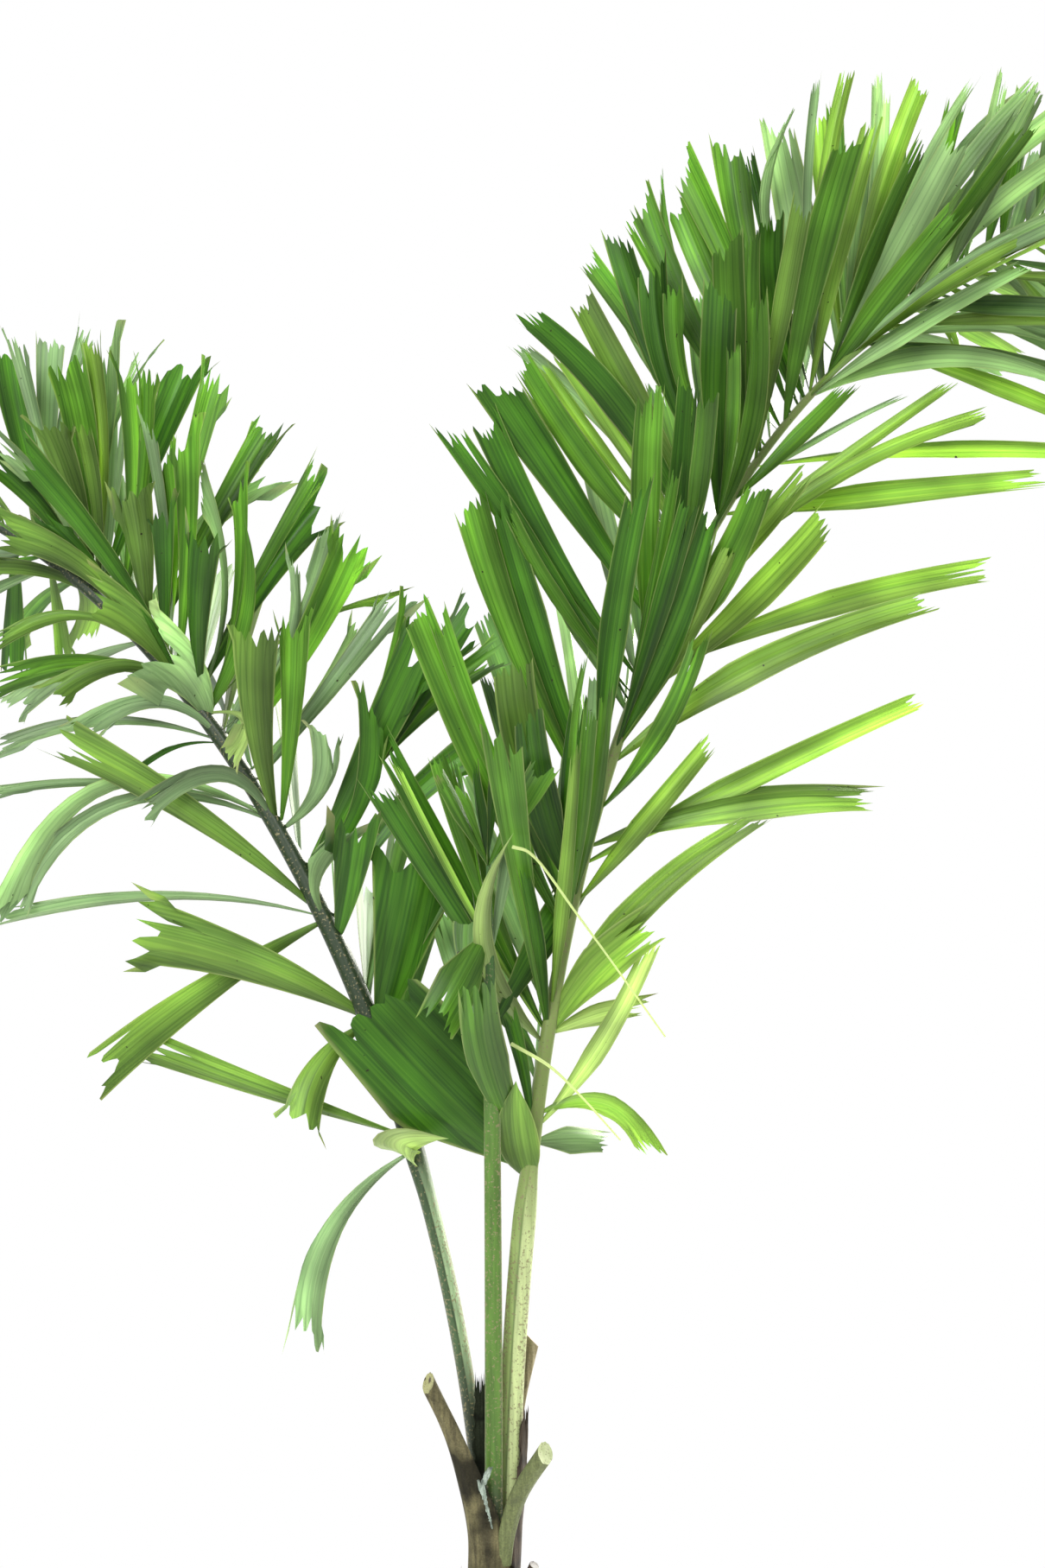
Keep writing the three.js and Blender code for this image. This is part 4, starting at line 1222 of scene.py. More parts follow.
@dataclass
class Frond:
    """A live frond: its stalk, its arching rib and its leaflets, by the sizes of the part's source.

    foot is its place on the stem's top and heading the compass turn that it leans to. It is bare up to
    stalk, its blade is split at bend, and clusters of leaflets sit from first on, closer to each other
    towards the tip by crowd. In a cluster the ranks turn round the rib through fan, from its upper side
    down, and open from it by spread, at its foot and tip, all in degrees. reach and width are a leaflet's
    size, droop how far it hangs and flare how much its end widens. The underside has no leaflets over the
    share bare. Up to seen, the leaflets on the viewer's side are singles. tones and sunny are the shares
    of tones in the shade and on the outer side, so that sunny paints the light on the leaflets that face
    it into their colour. sooty is where the dark foot fades, which is partly brown skin and partly painted
    shade.
    """

    name: str
    seed: int
    foot: Pair
    heading: float
    length: float
    lean: Lean
    stalk: float
    bend: float
    first: float
    clusters: int
    crowd: float
    reach: float
    width: float
    ranks: int
    fan: Pair
    spread: Pair
    droop: float
    bare: float
    seen: float
    flare: float
    stalk_width: Pair
    stalk_depth: Pair
    tones: dict[Tone, float]
    sunny: dict[Tone, float]
    singles: list[Single]
    tip_width: float = 6
    foot_brown_and_shade: Pair = (20, 150)
    stalk_wrap: Pair = (24, 30)
    flatness: float = 0.95
    taper: float = 0.8
    corner: float = 0.85
    groove: float = 0.1
    groove_place: Pair = (0.12, 0.2)
    rib_span: Pair = (-40, 60)
    tint_from: float = 0.82
    tint_past: float = 80
    scurf_end: float = 0.8
    scurf_power: int = 3
    scurf_loss: float = 1.2
    steps: int = 200
    around: int = 28
    row_step: float = 9.0

    def __post_init__(self) -> None:
        """Works out the middle line by adding up short steps along its direction."""
        self.out = compass(self.heading)
        step = self.length / self.steps
        ahead = self.frame((np.arange(self.steps) + 0.5) * step)[0] * step
        foot = np.array([[*self.foot, STEM_TOP]])
        self.line = np.concatenate([foot, foot + np.cumsum(ahead, axis=0)])

    def frame(self, s: Array) -> tuple[Array, Array, Array]:
        """The frond's own directions, square to each other.

        Args:
            s: distances along the frond.

        Returns:
            Direction, upper side and flank at each distance.
        """
        lean = np.radians(self.lean.at(s / self.length))[..., None]
        along = np.sin(lean) * self.out + np.cos(lean) * UP
        upper = -np.cos(lean) * self.out + np.sin(lean) * UP
        return along, upper, np.cross(along, upper)

    def point(self, s: Array) -> Array:
        """Points of the middle line at distances along the frond."""
        places = np.linspace(0, self.length, self.steps + 1)
        return np.stack([np.interp(s, places, self.line[:, k]) for k in range(3)], axis=-1)

    def half_width(self, s: Array) -> Array:
        """Half the width of the stalk, then of the rib, which thins to the tip.

        Args:
            s: distances along the frond.

        Returns:
            Half the width at each distance.
        """
        low = lerp(*self.stalk_width, np.clip(s / self.stalk, 0, 1))
        x = np.clip((s - self.stalk) / (self.length - self.stalk), 0, 1)
        return np.where(s <= self.stalk, low, lerp(self.stalk_width[1], self.tip_width, x**self.taper)) / 2

    def clustered(self) -> Leaflets:
        """Grows the leaflets that fan round the rib in clusters, by the source's rule.

        Returns:
            The leaflets, less those that are measured and those that the bare underside lacks.
        """
        g = GROWTH
        grid = np.meshgrid(np.arange(self.clusters), [1, -1], np.arange(self.ranks), indexing="ij")
        k, side, rank = (a.ravel() for a in grid)

        def jitter(trait: Trait) -> Array:
            """One draw from -1 to 1 for each leaflet."""
            return draw(self.seed, k, side + 2, rank, trait)

        q = k / (self.clusters - 1)
        span = self.length * g.last_place - self.first
        place = self.first + span * ((1 + self.crowd) * q - self.crowd * q * q)
        turn = lerp(*self.fan, rank / (self.ranks - 1)) + g.turn_jitter * jitter(Trait.TURN)
        at = np.clip(place + g.place_jitter * jitter(Trait.PLACE), 0, self.length)
        along, upper, flank = self.frame(at)
        phi = np.radians(turn) * side
        under = (1 - np.cos(phi)) / 2
        spread = lerp(*self.spread, q) + g.under_spread * under + g.spread_jitter * jitter(Trait.SPREAD)
        opening = np.radians(spread)[:, None]
        cos_phi, sin_phi = np.cos(phi)[:, None], np.sin(phi)[:, None]
        outward = cos_phi * upper + sin_phi * flank
        ahead = np.cos(opening) * along + np.sin(opening) * outward
        young = lerp(g.foot_reach, 1, np.minimum(1, q / g.foot_span))
        share = young * (1 - g.tip_loss * q**g.tip_power)
        length = self.reach * share * lerp(*g.reach, under) * (1 + g.length_jitter * jitter(Trait.LENGTH))
        width = self.width * (1 + g.width_jitter * jitter(Trait.WIDTH)) * (1 - g.tip_narrowing * q)
        face = square_to(ahead, np.abs(sin_phi) * upper - side[:, None] * cos_phi * flank)
        roll = np.radians(g.roll_jitter * jitter(Trait.ROLL))
        level = np.hypot(ahead[:, 0], ahead[:, 1])
        droop = self.droop * level * (1 + g.droop_jitter * jitter(Trait.DROOP))
        # Leaflets turned outwards, towards the light, are dealt the sunny tones: light painted into their
        # colour.
        sunward = ahead[:, 0] * np.sign(self.out[0]) - g.sun_height * ahead[:, 2]
        lit = 0.5 + 0.5 * jitter(Trait.SUN) < smooth(sunward, *g.sun_span)
        luck = 0.5 + 0.5 * jitter(Trait.TONE)
        leaves = Leaflets(
            at=at,
            root=self.point(at),
            run=ahead * length[:, None],
            bend=-0.5 * (droop * length)[:, None] * UP,
            across=turned(np.cross(face, ahead), ahead, -roll),
            width=width,
            length=length,
            key=self.seed * FROND_KEYS + k * CLUSTER_KEYS + (side > 0) * SIDE_KEYS + rank,
            tone=np.where(lit, deal(self.sunny, luck), deal(self.tones, luck)),
            twist=np.radians(g.twist) * jitter(Trait.TWIST),
            curl=g.curl * jitter(Trait.CURL),
            flare=self.flare + g.flare_jitter * jitter(Trait.FLARE),
            form=np.full(len(k), Form.RAGGED.value),
        )
        measured = (outward @ VIEWER > g.far_side) & (at < self.seen)
        return leaves.take(~(measured | (turn > g.under_turn) & (q < self.bare)))

    def single(self) -> Leaflets:
        """Grows the leaflets that were measured in the photograph.

        Each is rooted where the rib comes nearest to its root in the picture, and its middle line is the
        parabola through root, middle and tip that passes the middle at its share of the way. Its curl goes
        with its fold.

        Returns:
            The leaflets, in the order of the measures.
        """
        g = GROWTH

        def column(name: str) -> Array:
            """One measure of all the leaflets."""
            return np.array([getattr(row, name) for row in self.singles], float)

        places = np.linspace(self.stalk * g.single_from, self.length, 4 * self.steps)
        apart = PICTURE.pixels(self.point(places))[None] - column("root")[:, None]
        at = places[np.argmin(np.sum(apart**2, axis=-1), axis=1)]
        root = self.point(at)
        near = column("near")
        middle = PICTURE.place(column("middle"), root[:, 1] - near / 2)
        tip = PICTURE.place(column("tip"), root[:, 1] - near)
        ahead = unit(tip - root)
        first = np.linalg.norm(middle - root, axis=-1)
        length = first + np.linalg.norm(tip - middle, axis=-1)
        share = (first / length)[:, None]
        bend = (middle - root - share * (tip - root)) / (share * share - share)
        key = self.seed * FROND_KEYS + SINGLE_KEYS + np.arange(len(self.singles))
        roll = np.radians(column("roll") + g.single_roll * draw(key, Trait.OWN_ROLL))
        inner = (tip[:, 0] - root[:, 0]) * self.out[0] < 0
        return Leaflets(
            at=at,
            root=root,
            run=tip - root - bend,
            bend=bend,
            across=turned(unit(np.cross(ahead, VIEWER)), ahead, -roll),
            width=g.single_width * column("width") * PICTURE.scale(tip[:, 1]),
            length=length,
            key=key,
            tone=np.array([row.tone.value for row in self.singles]),
            twist=np.radians(column("twist") + g.single_twist * draw(key, Trait.OWN_TWIST)),
            curl=g.curl * draw(key, Trait.FOLD),
            flare=self.flare + g.inner_flare * inner + g.flare_jitter * draw(key, Trait.OWN_FLARE),
            form=np.array([row.form.value for row in self.singles]),
        )

    def rib(self) -> Surface:
        """Stalk and rib in one skin: a rolled, channelled section that thins to a flat oval rib.

        The section is a rounded oblong, carried along the middle line and bent round the stalk's roll,
        with a groove along each flank. Past the stalk's end it turns into the rib's oval. Scurf lies on
        the flanks of a frond that leans towards the viewer, and on the back and front of the others.

        Returns:
            The closed skin, with the values that the stalk's finish reads.
        """
        s = np.linspace(0, self.length, int(self.length / self.row_step))[:, None]
        angle = -ring_angles(self.around)
        across, depth = (
            (np.sign(wave) * np.abs(wave) ** self.corner)[None, :] for wave in (np.cos(angle), np.sin(angle))
        )
        half = across * (1 - self.groove * hump(depth, *self.groove_place)) * self.half_width(s)
        climb = np.clip(s / self.stalk, 0, 1)
        wrap = lerp(*self.stalk_wrap, climb)
        beta = half / wrap
        deep = depth * lerp(*self.stalk_depth, climb) / 2
        ribbed = smooth(s, self.stalk + self.rib_span[0], self.stalk + self.rib_span[1])
        oval = depth * self.half_width(s) * self.flatness
        flank_out = lerp((wrap - deep) * np.sin(beta), half, ribbed)
        upper_out = lerp(wrap - (wrap - deep) * np.cos(beta), oval, ribbed)
        _, upper, flank = self.frame(s[:, 0])
        wide = np.ones_like(across * s)
        rim = across if abs(self.out[1]) > abs(self.out[0]) else depth
        scurfed = 1 - self.scurf_loss * smooth(s, self.stalk * self.scurf_end, self.stalk)
        tinted = smooth(s, self.stalk * self.tint_from, self.stalk + self.tint_past)
        return skin(
            self.point(s[:, 0])[:, None] + offsets(flank, upper, flank_out, upper_out),
            upper_side=depth * wide,
            edge=np.abs(rim) ** self.scurf_power * scurfed,
            climb=tinted * wide,
            # Painted shade with browning: the stalk darkens towards its foot, low between the stalks.
            lowness=(1 - smooth(s, *self.foot_brown_and_shade)) * wide,
        )

    def parts(self) -> list[tuple[str, float, float]]:
        """The nodes of the blade, which is whole, or split where it bends over.

        Returns:
            Name, start and end of each node.
        """
        if self.bend >= self.length:
            return [("frond", 0.0, self.length + 1)]
        return [("frond_lower", 0.0, self.bend), ("frond_upper", self.bend, self.length + 1)]

    def build(self, materials: dict[Tone, list[Material]]) -> None:
        """Makes the stalk with its rib, and the leaflets of each node, and dresses them.

        Args:
            materials: the materials of face and back for each tone.
        """
        stalk = self.rib().piece(f"{self.name}_stalk_and_rib", [STALK_FINISHES[self.name].material()])
        ride(stalk, "stalk", f"{self.name}_stalk")
        leaves = Leaflets.joined([self.single(), self.clustered()])
        for part, start, end in self.parts():
            own = leaves.take((leaves.at >= start) & (leaves.at < end))
            tones = [tone for tone in Tone if tone.value in own.tone]
            surface = Blades().grow(own, tones)
            slots = [material for tone in tones for material in materials[tone]]
            piece = surface.piece(f"{self.name}_{part}_leaflets", slots, crease=100)
            ride(piece, f"{self.name}_leaflets", f"{self.name}_{part}")


@dataclass
class LeafBase:
    """The base of a leaf that was cut off: rolled round the stem at its foot, narrowing to a slanted cut.

    path runs up its middle, facing is the compass turn of its outer face at foot and cut, and half_width,
    depth and wrap (the radius it is rolled to) run from foot to cut. slope tilts the cut, as the fall per
    mm towards its outer face and towards its side. smear is how dark it is stained halfway up and at one
    spot of the cut, and dish how deep the cut is hollowed, as a share of its depth.
    """

    name: str
    path: list[Place]
    facing: Pair
    half_width: Pair
    power: float
    depth: Pair
    wrap: Pair
    finish: WeatheredFinish
    cut: CutFinish
    slope: Pair
    smear: float = 0.0
    smear_place: Pair = (0.46, 0.2)
    smear_sides: Pair = (0.55, 0.45)
    spot: Pair = (0.1, -0.3)
    spot_span: Pair = (0.15, 0.4)
    ridges: int = 9
    ridge: float = 0.5
    ridge_lean: float = 3.0
    ridge_sway: Pair = (0.6, 9.0)
    ridge_span: Pair = (0.0, 0.1)
    slope_span: Pair = (0.6, 1.0)
    dish: float = 0.08
    rows: int = 60
    around: int = 40
    cap_rings: int = 5

    def surface(self) -> Surface:
        """Carries rings along the path, with lengthwise ridges, and closes the cut by smaller rings.

        Returns:
            The closed skin, with slot 1 on the cut.
        """
        t = np.linspace(0, 1, self.rows)
        point, along = smooth_curve(self.path, t)
        outer = square_to(along, compass(lerp(*self.facing, t)))
        side = np.cross(along, outer)
        angle = -ring_angles(self.around)
        across, deep = np.cos(angle)[None, :], np.sin(angle)[None, :]
        t = t[:, None]
        half = lerp(self.half_width[1], self.half_width[0], (1 - t) ** self.power)
        sway = self.ridge_lean * t + self.ridge_sway[0] * np.sin(self.ridge_sway[1] * t)
        relief = self.ridge * np.sin(self.ridges * angle + sway) * smooth(t, *self.ridge_span)
        thick = deep * lerp(*self.depth, t) / 2 + relief * deep
        wrap = lerp(*self.wrap, t)
        beta = across * half / wrap
        side_out = (wrap + thick) * np.sin(beta)
        outer_out = (wrap + thick) * np.cos(beta) - wrap
        fall = -(self.slope[0] * outer_out + self.slope[1] * side_out) * smooth(t, *self.slope_span)
        rings = point[:, None] + offsets(side, outer, side_out, outer_out) + along[:, None] * fall[..., None]
        middle = rings[-1].mean(axis=0)
        shrink = (1 - np.arange(1, self.cap_rings + 1) / (self.cap_rings + 1))[:, None]
        hollow = self.dish * (1 - shrink**2) * self.depth[1]
        cap = middle + (rings[-1] - middle) * shrink[..., None] - along[-1] * hollow[..., None]
        sides = self.smear_sides[0] + self.smear_sides[1] * across
        stain = self.smear * hump(t, *self.smear_place) * sides
        from_spot = np.hypot(shrink * across - self.spot[0], shrink * deep - self.spot[1])
        rot = self.smear * (1 - smooth(from_spot, *self.spot_span))
        skinned = skin(np.concatenate([rings, cap]), cap_slot=1, smear=np.concatenate([stain, rot]))
        skinned.slots[(self.rows - 1) * self.around :] = 1
        return skinned

    def build(self) -> None:
        """Makes the base with its cut end and dresses it."""
        finishes = [self.finish.material(), self.cut.material()]
        piece = self.surface().piece(f"{self.name}_cut_leaf_base", finishes, crease=50)
        ride(piece, "old_leaf_base", self.name)


@dataclass
class Stem:
    """The stem: a flared foot, a gentle taper and the ring scars of fallen leaves, turned about its axis.

    Each scar is a lip with a groove above it, tilted to another side than the last. Two waves round the
    stem, which lean apart, make its cracks. Both ends are plain.
    """

    foot: float = 64
    waist: float = 50
    top: float = 40
    flare: float = 70
    pitch: float = 50
    ring: float = 2.4
    ring_tilt: float = 3.0
    ring_turn: float = 1.3
    lip_place: Pair = (0.5, 0.07)
    groove: float = 0.6
    groove_place: Pair = (0.62, 0.04)
    crack: float = 0.7
    crack_counts: tuple[int, int] = (17, 29)
    crack_leans: Pair = (0.02, -0.05)
    crack_shift: float = 1.7
    plain_end: float = 12
    rows: int = 200
    around: int = 96

    def surface(self) -> Surface:
        """Turns a radius about the axis: taper and flare, a lip at each scar, and shallow cracks.

        Returns:
            The closed skin.
        """
        z = np.linspace(0, STEM_TOP, self.rows)[:, None]
        angle = ring_angles(self.around)[None, :]
        taper = lerp(self.waist, self.top, z / STEM_TOP) + (self.foot - self.waist) * np.exp(-z / self.flare)
        tilt = self.ring_tilt * np.sin(angle + self.ring_turn * np.floor(z / self.pitch))
        phase = np.mod((z + tilt) / self.pitch, 1.0)
        scar = self.ring * (hump(phase, *self.lip_place) - self.groove * hump(phase, *self.groove_place))
        first, second = (n * angle + lean * z for n, lean in zip(self.crack_counts, self.crack_leans))
        cracks = self.crack * np.sin(first) * np.sin(second + self.crack_shift)
        inside = smooth(z, 0, self.plain_end) * (1 - smooth(z, STEM_TOP - self.plain_end, STEM_TOP))
        radius = taper + (scar + cracks) * inside
        return skin(np.stack([radius * np.cos(angle), radius * np.sin(angle), z + 0 * angle], axis=-1))

    def build(self) -> None:
        """Makes the stem and dresses it."""
        ride(self.surface().piece("ringed_stem", [BARK.material()]), "stem_bark", "stem")


@dataclass
class TornSheet:
    """A thin torn sheet of dry leaf sheath, rolled about an upright line, with frayed edges.

    foot and top are the middle line's ends, facing the compass turn of its outer face, half_width its half
    width at foot and top, wrap the radius it is rolled to, and fray how far its edges are torn. Every other
    column stands out at the torn top, which starts at tear_from.
    """

    name: str
    foot: Place
    top: Place
    facing: Pair
    half_width: Pair
    wrap: float
    fray: float
    finish: WeatheredFinish
    seed: int
    slot: str
    nodes: tuple[str, ...] = ()
    thick: float = 1.6
    strand: float = 0.8
    side_fray: float = 0.35
    side_power: int = 4
    tear_from: float = 0.7
    wave: float = 1.2
    waves: Pair = (5.0, 7.0)
    rows: int = 34
    columns: int = 21

    def surface(self) -> Surface:
        """Rolls a strip whose sides and top are torn by draws.

        Returns:
            The closed skin, with slot 0 inside and slot 1 outside.
        """
        t = np.linspace(0, 1, self.rows)[:, None]
        v = np.linspace(-1, 1, self.columns)[None, :]
        column, row = np.arange(self.columns)[None, :], np.arange(self.rows)[:, None]
        strands = self.strand * np.where(column % 2, 1, -1)
        torn_top = self.fray * (draw(self.seed, Trait.TORN_TOP + column) + strands)
        torn_side = self.fray * self.side_fray * draw(self.seed, Trait.TORN_SIDE + row)
        foot, top = np.array(self.foot), np.array(self.top)
        along = unit(top - foot)
        outer = square_to(along, compass(lerp(*self.facing, t[:, 0])))
        side = np.cross(along, outer)
        half = lerp(*self.half_width, t) + torn_side * np.abs(v) ** self.side_power
        beta = v * half / self.wrap
        wavy = self.wave * np.sin(self.waves[0] * v + self.waves[1] * t + self.seed) * np.abs(v)
        rolled = offsets(side, outer, self.wrap * np.sin(beta), self.wrap * np.cos(beta) - self.wrap + wavy)
        middle = foot + (top - foot) * t[..., None]
        sheet = middle + rolled + along * (torn_top * smooth(t, self.tear_from, 1.0))[..., None]
        lift = outer[:, None] * self.thick / 2
        return closed_sheets((sheet - lift)[None], (sheet + lift)[None])

    def build(self) -> None:
        """Makes the sheet and dresses both its sides alike."""
        material = self.finish.material()
        ride(self.surface().piece(self.name, [material, material], crease=100), self.slot, *self.nodes)


@dataclass
class Thread:
    """A pale thread that a leaf's margin has let go, hanging in a curve through a few points."""

    name: str
    path: list[Place]
    radius: Pair = (2.8, 1.2)
    rows: int = 60
    around: int = 6

    def build(self, finish: Material) -> None:
        """Makes the thread as a thin tube along its curve and dresses it.

        Args:
            finish: its material.
        """
        t = np.linspace(0, 1, self.rows)
        point, along = smooth_curve(self.path, t)
        first = unit(np.cross(along, UP))
        second = np.cross(along, first)
        angle = ring_angles(self.around)[None, :]
        radius = lerp(*self.radius, t)[:, None]
        tube = point[:, None] + offsets(first, second, radius * np.cos(angle), radius * np.sin(angle))
        ride(skin(tube).piece(self.name, [finish]), "centre_leaflets")


@dataclass(frozen=True)
class SoftLight:
    """A square soft light: its place and side in metres, its power in watts and its colour."""

    name: str
    place: Place
    side: float
    power: float
    colour: str

    def build(self, aim: Place) -> None:
        """Hangs the light and turns it to its aim.

        Args:
            aim: the place that it shines at, in metres.
        """
        data = bpy.data.lights.new(self.name, "AREA")
        data.size = self.side
        data.energy = self.power
        data.color = linear(self.colour)[:3]
        light = bpy.data.objects.new(self.name, data)
        light.location = self.place
        toward = Vector(aim) - Vector(self.place)
        light.rotation_euler = toward.to_track_quat("-Z", "Y").to_euler()
        bpy.context.scene.collection.objects.link(light)


@dataclass
class Studio:
    """The pale floor, the soft light and the camera at the photograph's place.

    sight is how far the camera sees and crown where the lights aim, both in metres. surround is the strength
    of the white round the plant, which grows from the viewer's side to the far side.
    """

    sensor: float = 36.0
    sight: float = 100.0
    floor_radius: float = 1650.0
    floor_levels: Pair = (-0.5, -20.5)
    floor_sides: int = 96
    speckle_size: float = 25.0
    surround: Ramp = Ramp(-1.0, 1.0, 0.85, 1.7)
    crown: Place = (0.1, 0.0, 1.6)
    lamps: tuple[SoftLight, ...] = (
        SoftLight("back_light", (2.6, 3.2, 3.2), 2.6, 900.0, "FFFDF2"),
        SoftLight("front_light", (-1.8, -4.2, 3.6), 2.4, 300.0, "FFFFFF"),
    )

    def camera(self) -> None:
        """Places the camera: its lens follows from the distance and the size of a pixel."""
        data = bpy.data.cameras.new("camera")
        data.sensor_width = self.sensor
        data.lens = self.sensor * -PICTURE.eye[1] / (PICTURE.pixel * max(PICTURE.frame))
        data.clip_end = self.sight
        camera = bpy.data.objects.new("camera", data)
        camera.location = [c * MM for c in PICTURE.eye]
        camera.rotation_euler = (math.pi / 2, 0, 0)
        bpy.context.scene.collection.objects.link(camera)
        bpy.context.scene.camera = camera

    def floor(self) -> None:
        """A round pale floor just under the stem's foot."""
        level = np.array(self.floor_levels)[:, None]
        angle = -ring_angles(self.floor_sides)[None, :]
        wide = self.floor_radius * np.ones_like(level)
        disc = np.stack([wide * np.cos(angle), wide * np.sin(angle), level + 0 * angle], axis=-1)
        material, node = new_material("matt_white_floor")
        place = node("TexCoord", out="Object")
        speckle = node("TexNoise", {"Vector": place, "Scale": per_metre(self.speckle_size)})
        paint = node("Mix", {FACTOR: speckle, FIRST: "F2F2F0", SECOND: "FAFAF8"}, **BLEND)
        surface = node("BsdfPrincipled", {"Base Color": paint, "Roughness": 0.8})
        node("OutputMaterial", {"Surface": surface})
        skin(disc).piece("floor", [material])

    def lights(self) -> None:
        """A white surround, brighter behind, a large light behind the crown and a weaker one in front."""
        world = bpy.data.worlds.new("white_studio")
        world.use_nodes = True
        world.node_tree.nodes.clear()
        node = partial(add_node, world.node_tree)
        seen = node("LightPath", out="Is Camera Ray")
        depth = node("SeparateXYZ", {0: node("TexCoord", out="Generated")}, "Y")
        strength = node("MapRange", self.surround.of(depth))
        around, backdrop = (
            node("Background", {"Color": "FFFFFF", "Strength": power}) for power in (strength, 1.0)
        )
        node("OutputWorld", {"Surface": node("MixShader", {0: seen, 1: around, 2: backdrop})})
        bpy.context.scene.world = world
        for lamp in self.lamps:
            lamp.build(self.crown)
        bpy.context.scene.view_settings.view_transform = "Standard"

    def build(self) -> None:
        """Sets up camera, floor and light."""
        self.camera()
        self.floor()
        self.lights()
